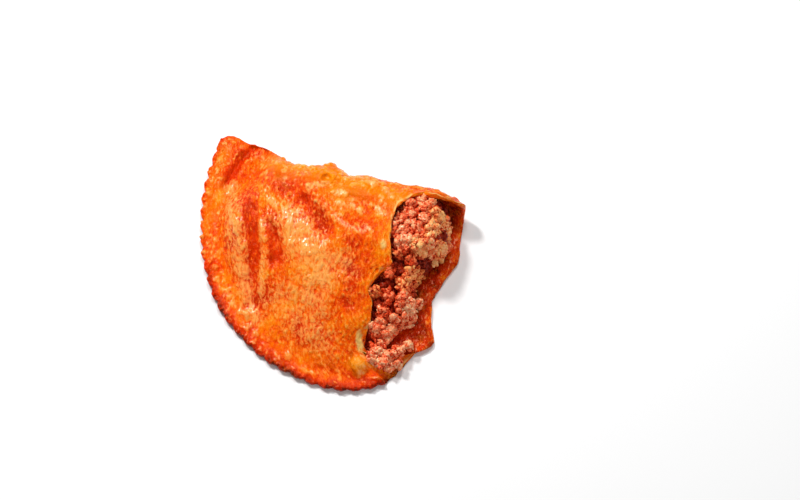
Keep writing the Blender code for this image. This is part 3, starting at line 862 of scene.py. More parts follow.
@dataclass
class Dough:
    """The folded sheet of dough: two skins, the fold, the pressed rim and the torn mouth.

    Attributes:
        moon: The pastry's plan and heights.
        rows: Rows of points from the corner to the torn end.
        span: Distance from the fold to the rim near the mouth.
        bubble_count: How many small blisters are scattered, besides the named ones.
        wrinkle_turn: Direction of the fine wrinkles in plan, in degrees from +X.
        bare: Where raw dough shows in the torn edge.
        swollen: The blister that is torn open in the mouth's lower corner.
        top_tear: x of the upper skin's torn edge, by share from the fold to the rim.
        sole_tear: The same for the underside.
        folds: Narrow valleys and ridges, in millimetres.
        valleys: Where blisters keep away.
        heat_and_shading: Browner (above 0) and paler (below 0) places; the darker marks along the
            valleys, furrows and hollows are painted shade, the paler ones along the ridges painted
            highlights.
        bloom: Places of a painted peach sheen, a painted highlight on the oily skin.
        bubbles: Blisters seen one by one, as x, y and radius.
        rings: Blisters that have sunk in, as x, y and radius.
        gold: Yellower places.
        pale: Places with bare, floury dough.
    """

    moon: HalfMoon
    rows: int = 380
    top_columns: int = 150
    sole_columns: int = 40
    band_columns: int = 14
    inner_rows: int = 56
    torn_rows: int = 9
    span: float = 110.0
    seed: int = 7
    bubble_count: int = 520
    wrinkle_turn: float = -70.8
    bare: Patch = Patch(113.3, -93.5, 4.4, 3.6, 0, 0.6)
    swollen: Patch = Patch(117, -103.6, 4.4, 3.6, 0, 1)
    top_tear: Table = (
        (0, 140.6), (0.03, 138.5), (0.052, 119), (0.13, 110), (0.20, 107),
        (0.30, 108.5), (0.39, 112), (0.455, 116), (0.51, 111), (0.61, 107.5),
        (0.655, 112), (0.745, 115), (0.83, 109.5), (0.92, 116), (1, 132.5))
    sole_tear: Table = (
        (0, 140.6), (0.03, 140.5), (0.12, 142), (0.26, 146), (0.34, 143),
        (0.48, 139.5), (0.60, 143.5), (0.70, 149.5), (0.78, 142), (0.90, 137.5),
        (1, 132.5))
    folds: tuple[Crease, ...] = (
        Crease(FLAP, 2.2, -1.7), Crease(FLAP_SHOULDER, 3, 1),
        Crease(LONG_VALLEY, 3.6, -1.6), Crease(SHORT_VALLEY, 2.8, -1.3),
        Crease(LEFT_SLOPE, 3.4, 0.8), Crease(MIDDLE_RIDGE, 2.2, 0.9),
        Crease(RIGHT_RIDGE, 3, 0.9), Crease(TOP_RIDGE, 2.5, 0.7),
        Crease(SWELL_EDGE, 3.2, 0.7), Crease(SHADED_HOLLOW, 3.2, -1),
        Crease(((70, -38.5), (76.5, -44.5)), 3.4, -0.8),
        Crease(((74.8, -75.1), (78.8, -76.8), (78.4, -80.6), (82.5, -82.3)), 0.9, 0.5),
        Crease(LIP_DENT, 1.8, -0.8),
        Crease(((76.5, -17), (84, -19.5), (92, -18.5)), 2, 0.8),
        Crease(((55, -20), (61, -24)), 1.8, 0.6),
        *(Crease(line, reach, high) for line, reach, high, _, _ in SHORT_WRINKLES),
        Crease(((88, -33), (93, -33.5)), 2.4, -0.8),
        Crease(((70, -14), (80, -13.5)), 2.4, -0.7))
    valleys: tuple[Crease, ...] = (
        Crease(FLAP, 2.6, 1), Crease(LONG_VALLEY, 4.2, 1), Crease(SHORT_VALLEY, 3.6, 1),
        Crease(LEFT_FURROW, 3.6, 0.9), Crease(RIGHT_FURROW, 3.6, 0.9))
    # Browned colour together with painted shading: the marks along the flap's crease, the valleys,
    # the furrows and the hollow below the swell add painted shade, and the negative marks along the
    # ridges and the swell's edge are painted highlights.
    heat_and_shading: tuple[Patch | Crease, ...] = (
        Crease(FLAP, 3, 0.40), Crease(((13.4, -2.4), (10.7, -10.8), (10, -18.8)), 4.5, 0.10),
        Crease(LONG_VALLEY, 4.2, 0.30), Crease(SHORT_VALLEY, 3.6, 0.32),
        Crease(SHADED_HOLLOW, 4.4, 0.14), Patch(73.5, -41.5, 6.5, 3.6, -50, 0.36),
        Crease(LEFT_SLOPE, 3.6, -0.12), Crease(MIDDLE_RIDGE, 2, -0.20),
        Crease(RIGHT_RIDGE, 3.4, -0.14), Crease(TOP_RIDGE, 2.6, -0.26),
        Crease(((98, -67.7), (99.7, -62.7), (94.3, -57.1)), 4, 0.22),
        Crease(LIP_DENT, 2.4, 0.26),
        Patch(6, -43, 6, 3, -80, 0.14), Patch(24, -76, 6, 3, -60, 0.30),
        Crease(((44.9, -25.3), (54.5, -25), (62.9, -29.5)), 3.8, 0.24),
        Crease(LEFT_FURROW, 3.2, 0.12), Crease(RIGHT_FURROW, 3.2, 0.14),
        Patch(92, -46, 9, 4, -20, 0.16), Patch(98, -58, 8, 15, -10, 0.18),
        Patch(95.5, -33.5, 6, 4, 10, 0.24), Patch(102, -109, 6, 5, 0, 0.20),
        Crease(((111, -101.5), (111.8, -106.5), (116, -110)), 1.5, 0.24),
        Patch(118, -111, 8, 2.2, 0, 0.42), Patch(131, -107.5, 3, 3, 0, 0.6),
        Patch(65, -15, 4, 2.2, 0, 0.36), Patch(57, -86, 7, 2.4, -60, 0.16),
        Patch(78.5, -96, 8, 2.4, -60, 0.2), Patch(60, -107, 12, 4, -30, 0.16),
        Patch(80, -68, 24, 22, 0, -0.08), Patch(90, -41, 6, 2.4, -10, -0.2))
    # Painted sheen: peach painted highlights over the crests and swells of the oily skin.
    bloom: tuple[Patch | Crease, ...] = (
        Crease(((14.3, -26.2), (21.3, -39.7), (28.3, -54.9), (35.6, -69.3), (44.1, -83.7),
                (53.3, -97.1)), 4.6, 0.66),
        Crease(MIDDLE_RIDGE, 1.8, 0.6), Crease(((37.8, -33), (45.1, -37.4)), 1.8, 0.7),
        Crease(((50.9, -41), (61.4, -51.4), (72.8, -61.2), (82.9, -70.4)), 8, 0.7),
        Crease(((61, -43.5), (74.9, -54.1), (86, -59.6)), 7, 0.35),
        Crease(((61.4, -85.7), (79, -95.2), (94.6, -99)), 7, 0.4),
        Crease(((66.9, -76.9), (87, -85.4)), 7, 0.35),
        Crease(((90.5, -54.4), (97.1, -61.8)), 5, 0.4),
        Crease(SWELL_EDGE[1:], 1.6, 0.3), Crease(((76.7, -27.9), (81.4, -28.2)), 1.6, 0.5),
        *(Crease(line, reach, bloom) for line, _, _, reach, bloom in SHORT_WRINKLES),
        Crease(((47.1, -6.7), (53.8, -6.3)), 1.6, 0.9), Patch(64, -19.6, 4.2, 1.6, 10, 1),
        Patch(76, -21, 3, 1.8, 30, 0.9), Patch(60.2, -23.2, 1.8, 3.6, 30, 0.9),
        Patch(44.4, -20, 1.6, 3.2, 10, 0.9),
        Crease(((20, -3), (28, -6), (36, -8)), 2, 0.35))
    bubbles: tuple[tuple[float, float, float], ...] = (
        (49.8, -27.9, 1.9), (49.3, -10.1, 1.5), (65.9, -29.7, 2.1), (77.5, -26.9, 2.5),
        (81, -33.6, 2.2), (49.8, -14.8, 1.5), (79, -21.3, 2.6), (35.9, -11, 1.4),
        (29.3, -5.2, 1.6), (53.8, -13.1, 1.3), (72.4, -22.1, 1.7), (83.8, -23.6, 2.1),
        (89.9, -27.8, 2.5), (95, -22.8, 2.1), (101.1, -27.1, 2.5), (73.1, -68.6, 1.4),
        (72, -58.7, 1.4), (14, -43.5, 1.7), (16.2, -47.5, 1.5), (5.2, -13.3, 1.6),
        (5, -19.2, 1.6), (8, -23.3, 1.4), (4.4, -27.1, 1.5), (4.6, -34.4, 1.5),
        (5.9, -42.5, 1.6), (7.6, -51.5, 1.6), (10.6, -60.2, 1.6), (15, -68.2, 1.5),
        (14.8, -62.5, 1.3), (116.8, -104.8, 5.2), (104, -104, 2.2), (98, -110, 1.8))
    rings: tuple[tuple[float, float, float], ...] = (
        (75.6, -72.3, 2.2), (91.6, -65.8, 2), (66, -14.6, 4), (96, -92, 1.8))
    gold: tuple[Patch, ...] = (
        Patch(45, -9, 22, 6, 0, 0.55), Patch(88, -12, 30, 8, 0, 0.6),
        Patch(77, -26, 14, 6, -20, 0.45), Patch(11.5, -33, 8, 3.6, -80, 0.8),
        Patch(26, -79, 7, 3, -60, 0.3), Patch(115, -105, 4.6, 4.2, 0, 0.9),
        Patch(108, -46, 4, 10, 0, 0.6), Patch(95, -108, 20, 4, 0, 0.3),
        Patch(113, -20, 10, 8, 0, 0.5), Patch(108, -85, 6, 6, 0, 0.35),
        Patch(5, -13, 4, 9, 0, 0.4), Patch(8.5, -47, 4, 12, 15, 0.5))
    # The marks at (66, -30) and (90, -41) on the swell's edge are a painted highlight; the rest is
    # bare or thin dough.
    pale: tuple[Patch, ...] = (
        Patch(112.6, -94, 2.4, 3.4, 0, 0.7), Patch(111, -18, 8, 3, -30, 0.35),
        Patch(66, -30, 2.4, 1.4, 0, 0.5), Patch(108.4, -42.4, 2.2, 3.6, 20, 0.8),
        Patch(90, -41, 5, 1.6, -10, 0.35))

    def fold_line(self, u: Array) -> Array:
        """Return the fold's plan points."""
        x = self.moon.fold_run * u
        return np.column_stack([x, self.moon.fold_y(x)])

    def rim_line(self, u: Array) -> Array:
        """Return the scalloped rim's plan points."""
        run = self.moon.rim_run * u
        point, normal = self.moon.rim(run)
        tooth = np.abs(np.sin(math.pi * run / self.moon.tooth_pitch)) ** 0.75 - 0.6
        slack = 0.9 * np.array([noise.noise((r / 23.0, 2.0, 0.0)) for r in run])
        reach = (self.moon.tooth_depth * tooth + slack) * smooth(run / 12.0)
        return point + normal * reach[:, None]

    def torn(self, table: Table, v: Array, shift: float) -> Array:
        """Return the outer torn edge with its small tears."""
        u_end = np.array([1.0])
        start, end = self.fold_line(u_end)[0], self.rim_line(u_end)[0]
        x = along(table, v)
        x[0], x[-1] = start[0], end[0]
        ragged = cloud(np.column_stack([v * self.span, v * 0.0]), 5.0, 3, shift)
        x = x + 1.1 * ragged * smooth(v / 0.06) * smooth((1.0 - v) / 0.04)
        return np.column_stack([x, mix(start[1], end[1], v)])

    def split(self) -> float:
        """Return the share from fold to rim at which the skins part."""
        return 1.0 - (self.moon.band + self.moon.seal_inset) / self.span

    def columns(self, count: int) -> Array:
        """Return the shares from fold to rim, dense at the fold and the rim."""
        inner = self.split() * (np.arange(count + 1) / count) ** 1.45
        rest = 1.0 - (1.0 - np.arange(1, self.band_columns + 1) / self.band_columns) ** 1.7
        return np.concatenate([inner, mix(self.split(), 1.0, rest)])

    def outer_sheet(self, side: Side) -> Sheet:
        """Return the outer skin on one side, before its fine relief."""
        is_top = side is Side.TOP
        v = self.columns(self.top_columns if is_top else self.sole_columns)
        u = self.row_shares()
        tear = self.torn(self.top_tear if is_top else self.sole_tear, v, 3.0 * side.value)
        sheet = Sheet(coons(self.fold_line(u), self.rim_line(u), tear, u, v), v)
        z = self.moon.outer(sheet.plan, side, sheet.v)
        sheet.points = self.moon.place(sheet.plan, z)
        return sheet

    def inner_sheet(self, side: Side) -> Sheet:
        """Return the pocket's wall on one side, ending at the outer skin's torn edge."""
        moon, is_top = self.moon, side is Side.TOP
        count = self.top_columns if is_top else self.sole_columns
        u = np.concatenate([[0.0], ((np.arange(self.inner_rows) + 1.0) / self.inner_rows)])
        v = (np.arange(count + 1) / count) ** 1.3
        first, last = moon.seal_start, moon.rim_run - moon.seal_inset
        corner = moon.seal(np.array([first]))[0]
        back = moon.skin + moon.fold_gap
        x = mix(corner[0], moon.mouth_x(), u)
        fold = np.column_stack([x, mix(corner[1], moon.fold_y(x) - back, smooth(u / 0.14))])
        seal = moon.seal(mix(first, last, u))
        table = self.top_tear if is_top else self.sole_tear
        near_fold, near_rim = 0.02, self.split()
        edge = along(table, mix(near_fold, near_rim, v))
        edge = edge + (fold[-1, 0] - along(table, near_fold)) * (1.0 - smooth(v / 0.06))
        edge = edge + (seal[-1, 0] - along(table, near_rim)) * onset(v, 0.82, 0.18)
        tear = np.column_stack([edge, mix(fold[-1, 1], seal[-1, 1], v)])
        sheet = Sheet(coons(fold, seal, tear, u, v), v)
        depth = sheet.before_seal(moon.seal(np.linspace(first, last, 60)))
        z = moon.inner(sheet.plan, side, sheet.v, moon.before_back(sheet, back), depth, 0.0)
        sheet.points = moon.place(sheet.plan, z)
        x = sheet.x
        if not is_top:
            shows = onset(x, 124.0, 6.0) * smooth((1.0 - sheet.v) * 12.0)
            ripple = cloud(sheet.points, (2.6, 3.6, 3.0), 3, 7.5) * 0.8
            sheet.points[:, 2] += np.maximum(-0.5, ripple) * shows * smooth(sheet.v * 12.0)
        stain = cloud(sheet.points, 7.0, 4, 6.0)
        # Inside the pocket the underside is painted dark red toward the meat, a painted shade; the
        # roof's lower value is its browned colour.
        inner_browned_and_shaded = mix(0.62 if is_top else 0.9, 0.58, onset(x, 132.0, 13.0))
        sheet.marks = self.plain_marks(len(x), 0.6, 0.1, 0.0)
        sheet.marks["browning"] = np.minimum(inner_browned_and_shaded + 0.3 * stain, 0.93)
        sheet.marks["pale"] = np.clip(cloud(sheet.points, 5.0, 3, 3.3) * 0.8 - 0.3, 0.0, 0.4)
        sheet.marks["skin"] = np.full(len(x), 0.9)
        return sheet

    @staticmethod
    def plain_marks(count: int, heat_and_shading: float, gold: float, pale: float) -> dict[str, Array]:
        """Return even marks."""
        return {"browning": np.full(count, heat_and_shading), "gold": np.full(count, gold),
                "pale": np.full(count, pale), "skin": np.full(count, 0.5),
                "bloom": np.zeros(count)}

    def zones(self, sheet: Sheet) -> Zones:
        """Return the parts of the top and the distances to its edges."""
        share, near = self.moon.inward(sheet.plan)
        back = self.moon.fold_y(sheet.x) - sheet.y
        x = sheet.x
        band = 1.0 - onset(near, 8.0, 5.0)
        fold = (1.0 - onset(back, 14.0, 12.0)) * (1.0 - band) * onset(x, 20.0, 10.0)
        left = smooth((66.0 - x) / 16.0) * (1.0 - fold) * (1.0 - band) * smooth(share * 4.0)
        plain = np.clip(1.0 - band - fold - left, 0.0, 1.0)
        valley = np.clip(total(self.valleys, sheet.plan), 0.0, 1.0)
        torn, mouth = np.full(len(x), 99.0), x > 96.0
        torn[mouth] = nearest(sheet.plan.reshape(sheet.rows, -1, 2)[-1], sheet.plan[mouth], 99.0)
        return Zones(band, fold, left, plain, valley, near, back, torn)

    def wrinkles(self, sheet: Sheet, zone: Zones) -> Array:
        """Return the fine folds of the skin, in millimetres along its normal."""
        turn = math.radians(self.wrinkle_turn)
        run = np.array([math.cos(turn), math.sin(turn), -0.25])
        across = np.array([-math.sin(turn), math.cos(turn), 0.0])
        p = sheet.points
        local = np.column_stack([p @ run, p @ across, p[:, 2] * 0.6])
        streak = cloud(local, (7.0, 1.9, 3.4), 3, 1.7)
        crinkle = cloud(local, (2.8, 1.3, 2.0), 2, 8.3)
        swell = cloud(p, 6.0, 3, 5.1)
        strength = 0.46 * zone.left + 0.26 * zone.plain + 0.10 * zone.fold
        height = streak * (strength + 0.12 * zone.band)
        height = height + crinkle * (0.3 - 0.1 * zone.band - 0.15 * zone.fold)
        return height + swell * (0.22 + 0.2 * zone.fold + 0.1 * zone.band)

    def lobes(self, sheet: Sheet, near: Array) -> Array:
        """Return the swell of each tooth of the rim and the pressed line behind the teeth."""
        run = np.repeat(self.row_shares() * self.moon.rim_run, sheet.columns)
        tooth = np.abs(np.sin(math.pi * run / self.moon.tooth_pitch)) ** 0.8
        swell = (tooth - 0.45) * 0.8 * bell(near, 2.0, 2.2)
        press = -0.3 * bell(near, 7.6, 2.0)
        fading = 1.0 - 0.6 * onset(run, 70.0, 50.0)
        return (swell + press) * (sheet.v > 0.75) * smooth(run / 12.0) * fading

    def row_shares(self) -> Array:
        """Return each row's share of the way from the corner to the torn end."""
        return np.concatenate([[0.0, 0.002, 0.006], (np.arange(self.rows) + 1.0) / self.rows])

    @staticmethod
    def profile(t: float, is_ring: bool) -> float:
        """Return a blister's height at a share t of its radius; a ring has sunk in."""
        if is_ring:
            return (math.exp(-((t - 0.85) / 0.3) ** 2) - 0.8 * math.exp(-(t / 0.6) ** 2)) * 0.5
        return max(0.0, 1.0 - t * t) - 0.08 * math.exp(-((t - 1.1) / 0.2) ** 2)

    def blisters(self, sheet: Sheet, zone: Zones) -> tuple[Array, ...]:
        """Return the blisters' height and how pale their tops are at each point, from thinner dough
        and a painted highlight.
        """
        rng = np.random.default_rng(self.seed)
        tree = kdtree.KDTree(len(sheet.points))
        for i, point in enumerate(sheet.points.tolist()):
            tree.insert(point, i)
        tree.balance()
        along_u, along_v = np.gradient(sheet.grid(), axis=(0, 1))
        area = (np.linalg.norm(along_u, axis=2) * np.linalg.norm(along_v, axis=2)).reshape(-1)
        want = 0.6 * zone.band + 0.8 * zone.fold + 0.15 * zone.left
        want = (want + 0.2 * zone.plain) * area * (sheet.v > 0.004) * (sheet.v < 0.985)
        want = want * (1.0 - 0.95 * zone.valley)
        picks = rng.choice(len(want), size=self.bubble_count, replace=False,
                           p=want / want.sum())
        found = []
        for pick in picks:
            big = zone.fold[pick] + 0.7 * zone.band[pick] > rng.uniform(0.3, 1.8)
            radius = rng.uniform(1.3, 2.7) if big else rng.uniform(0.8, 1.3)
            found.append((sheet.points[pick], radius, rng.random() < 0.2))
        for named, is_ring in ((self.bubbles, False), (self.rings, True)):
            for x, y, radius in named:
                pick = int(np.argmin(np.hypot(*(sheet.plan - (x, y)).T)))
                found.append((sheet.points[pick], radius, is_ring))
        height, pale = np.zeros(len(want)), np.zeros(len(want))
        uneven = 1.0 + 0.34 * cloud(sheet.points, 1.9, 2, 2.6)
        for centre, radius, is_ring in found:
            lift = radius * rng.uniform(0.3, 0.5)
            for _, index, distance in tree.find_range(centre.tolist(), radius * 1.45):
                up = self.profile(distance / radius * uneven[index], is_ring)
                if abs(up * lift) > abs(height[index]):
                    height[index] = up * lift
                pale[index] = max(pale[index], up)
        return height, np.clip(pale, 0.0, 1.0)

    def colour_marks(self, sheet: Sheet, zone: Zones, bubble: Array,
                     relief: Array) -> dict[str, Array]:
        """Return where the crust is browned, golden and pale, and where shade and sheen are painted.

        Args:
            sheet: The top skin.
            zone: The parts of the top.
            bubble: How pale the blisters' tops are there, from thinner dough and a painted
                highlight.
            relief: The height of the fine wrinkles, from -1 in a furrow to 1 on a crest.
        """
        near, back = zone.near, zone.back
        front = onset(-sheet.y, 66.0, 26.0)
        edge = bell(near, 0.0, 1.7)
        # Browned colour plus painted shading: the table's marks and the relief term darken valleys
        # and furrows as painted shade and lighten ridges and crests as painted highlights.
        heat_and_shading = 0.47 + total(self.heat_and_shading, sheet.plan) + 0.17 * zone.fold - 0.08 * relief
        heat_and_shading = heat_and_shading + edge * mix(0.08, 0.42, front)
        heat_and_shading = heat_and_shading + bell(near, 0.0, 6.0) * mix(0.03, 0.15, front)
        # Blister tops lighter: thinner dough and a painted highlight.
        heat_and_shading = heat_and_shading - 0.16 * bubble - 0.02 * zone.plain
        heat_and_shading = np.minimum(heat_and_shading, 0.62 + 0.25 * np.tanh(np.maximum(0.0, heat_and_shading - 0.62) / 0.4))
        heat_and_shading = heat_and_shading + 0.17 * front * bell(near, 0.0, 2.8)
        # Blister tops yellower: thinner dough and a painted highlight.
        gold = total(self.gold, sheet.plan) + 0.16 * zone.fold + 0.3 * bubble
        gold = np.clip(gold, 0.0, 1.0) * (1.0 - 0.8 * edge)
        arch = 1.0 - onset(-sheet.y, 22.0, 12.0)
        lip = np.exp(-zone.torn / mix(0.6, 1.2, arch)) * onset(sheet.v, 0.01, 0.02)
        ragged = 0.55 + 0.9 * cloud(sheet.points, 4.0, 2, 7.0)
        lip = lip * mix(0.7, 1.3, arch) * (1.0 - zone.band)
        pale = total(self.pale, sheet.plan) + lip * ragged
        # Blister tops paler: thinner dough and a painted highlight.
        pale = pale + 0.18 * onset(bubble, 0.5, 0.4)
        skin = 0.95 * zone.left + 0.75 * zone.plain + 0.45 * (zone.band + zone.fold)
        skin = skin * (1.0 - 0.5 * zone.valley)
        quiet = 1.0 - 0.6 * (zone.plain + zone.left) - 0.45 * zone.band
        quiet = quiet - 0.45 * zone.fold - 0.3 * (1.0 - onset(back, 1.0, 4.0))
        # Painted highlights on the blisters' tops, and a painted sheen that is stronger on the
        # wrinkles' crests.
        spots = 0.95 * onset(bubble, 0.25, 0.5) * quiet
        bloom = total(self.bloom, sheet.plan) * (1.0 + 0.55 * relief) + spots
        bloom = bloom * (1.0 - 0.15 * zone.fold)
        return {"browning": heat_and_shading, "gold": gold, "pale": np.clip(pale, 0.0, 1.0), "skin": skin,
                "bloom": np.clip(bloom, 0.0, 1.0)}

    def torn_face(self, outer: Sheet, inner: Sheet, columns: int) -> Sheet:
        """Return the broken edge between a skin's outer and inner side.

        Args:
            outer: The outer skin, whose last row is broken.
            inner: The pocket's wall behind it.
            columns: How many of the outer skin's points face the pocket.

        Returns:
            Rows of points from the outer to the inner line, rounded and crumbly.
        """
        before, first = outer.grid()[-2:, :columns]
        ahead = first - before
        ahead = ahead / np.maximum(np.linalg.norm(ahead, axis=1, keepdims=True), 1e-6)
        steps = np.linspace(0.0, 1.0, self.torn_rows + 2)[:, None, None]
        bulge = np.sin(math.pi * steps)
        points = first[None] * (1.0 - steps) + inner.grid()[-1][None] * steps
        points = points + ahead[None] * (bulge * 0.45)
        rough = cloud(points.reshape(-1, 3), (1.6, 1.6, 1.0), 3, 4.4).reshape(len(steps), -1, 1)
        points = points + ahead[None] * rough * 0.4 * bulge
        sheet = Sheet(points[..., :2] - np.array(self.moon.shift), np.zeros(columns))
        sheet.points = points.reshape(-1, 3)
        depth = np.repeat(steps.reshape(-1), columns)
        grain = cloud(sheet.points, 3.4, 3, 9.0)
        bulb = self.swollen.at(sheet.plan)
        knobs = cloud(sheet.points, 2.6, 3, 5.5) * 1.3 * np.sin(math.pi * depth)
        sheet.points[:, 2] += (knobs + 1.3 * bulb) * smooth(depth * 8.0) * smooth(
            (1.0 - depth) * 8.0)
        low = onset(-sheet.y, 98.0, 6.0)
        bare = self.bare.at(sheet.plan)
        sheet.marks = self.plain_marks(len(depth), 0.42, 0.25, 0.62)
        sheet.marks["gold"] = np.clip(0.2 + 0.9 * bulb, 0.0, 1.0)
        sheet.marks["browning"] = 0.42 + 0.34 * depth ** 2 + 0.3 * grain + 0.3 * low
        sheet.marks["pale"] = np.clip(0.30 + 0.9 * grain + bare - 0.6 * depth ** 2 - low,
                                      0.0, 1.0)
        return sheet

    def dress_top(self, sheet: Sheet) -> None:
        """Add the fine relief and the marks of the top."""
        zone = self.zones(sheet)
        normals = sheet.normals()
        bubble, light = self.blisters(sheet, zone)
        fine = self.wrinkles(sheet, zone)
        height = fine + bubble + total(self.folds, sheet.plan)
        height = height + self.lobes(sheet, zone.near)
        curl = bell(zone.torn, 0.0, 1.6)
        curl = curl * (1.0 - onset(-sheet.y, 26.0, 10.0))
        height = height + 0.7 * curl * onset(sheet.v, 0.01, 0.03)
        hold = smooth(zone.near / 1.2) * 0.75 + 0.25
        hold = np.where((sheet.v <= 0.0) | (sheet.v >= 1.0), 0.0, hold)
        sheet.points = sheet.points + normals * (height * hold)[:, None]
        sheet.marks = self.colour_marks(sheet, zone, light, np.clip(fine / 0.3, -1.0, 1.0))

    def dress_sole(self, sheet: Sheet) -> None:
        """Mark the underside."""
        _, near = self.moon.inward(sheet.plan)
        sheet.marks = self.plain_marks(len(near), 0.5, 0.2, 0.0)
        sheet.marks["browning"] = 0.5 + 0.4 * bell(near, 0.0, 2.2)

    def build(self) -> bpy.types.Object:
        """Return the crust as one closed mesh."""
        top, sole = self.outer_sheet(Side.TOP), self.outer_sheet(Side.SOLE)
        roof, floor = self.inner_sheet(Side.TOP), self.inner_sheet(Side.SOLE)
        self.dress_top(top)
        self.dress_sole(sole)
        main_top, main_sole = self.top_columns + 1, self.sole_columns + 1
        upper_tear = self.torn_face(top, roof, main_top)
        lower_tear = self.torn_face(sole, floor, main_sole)
        shell = Shell()
        for sheet in (top, sole, roof, floor, upper_tear, lower_tear):
            shell.add(sheet)
        shell.sew(top, sole)
        shell.sew(roof, floor)
        for torn, outer, inner, count in ((upper_tear, top, roof, main_top),
                                          (lower_tear, sole, floor, main_sole)):
            torn.index[0], torn.index[-1] = outer.index[-1, :count], inner.index[-1]
        lower_tear.index[:, 0] = upper_tear.index[:, 0]
        for sheet, turned in ((top, False), (sole, True), (roof, True), (floor, False),
                              (upper_tear, False), (lower_tear, True)):
            shell.skin(sheet, turned)
        seam = [int(i) for i in upper_tear.index[:, -1]]
        seam += [int(i) for i in lower_tear.index[::-1, -1][1:]]
        shell.faces.append(tuple(seam))
        shell.strip(top.index[-1, main_top - 1:], sole.index[-1, main_sole - 1:])
        return shell.mesh("crust")


# ------------------------------------------------------------------------------- meat


@dataclass(frozen=True)
class Lump:
    """A clump of meat: its place in plan, reach, rise, brightness and share of fat; a low brightness
    is painted shade for a clump that lies in shade.
    """

    x: float
    y: float
    radius: float
    rise: float
    tone: float
    fat: float


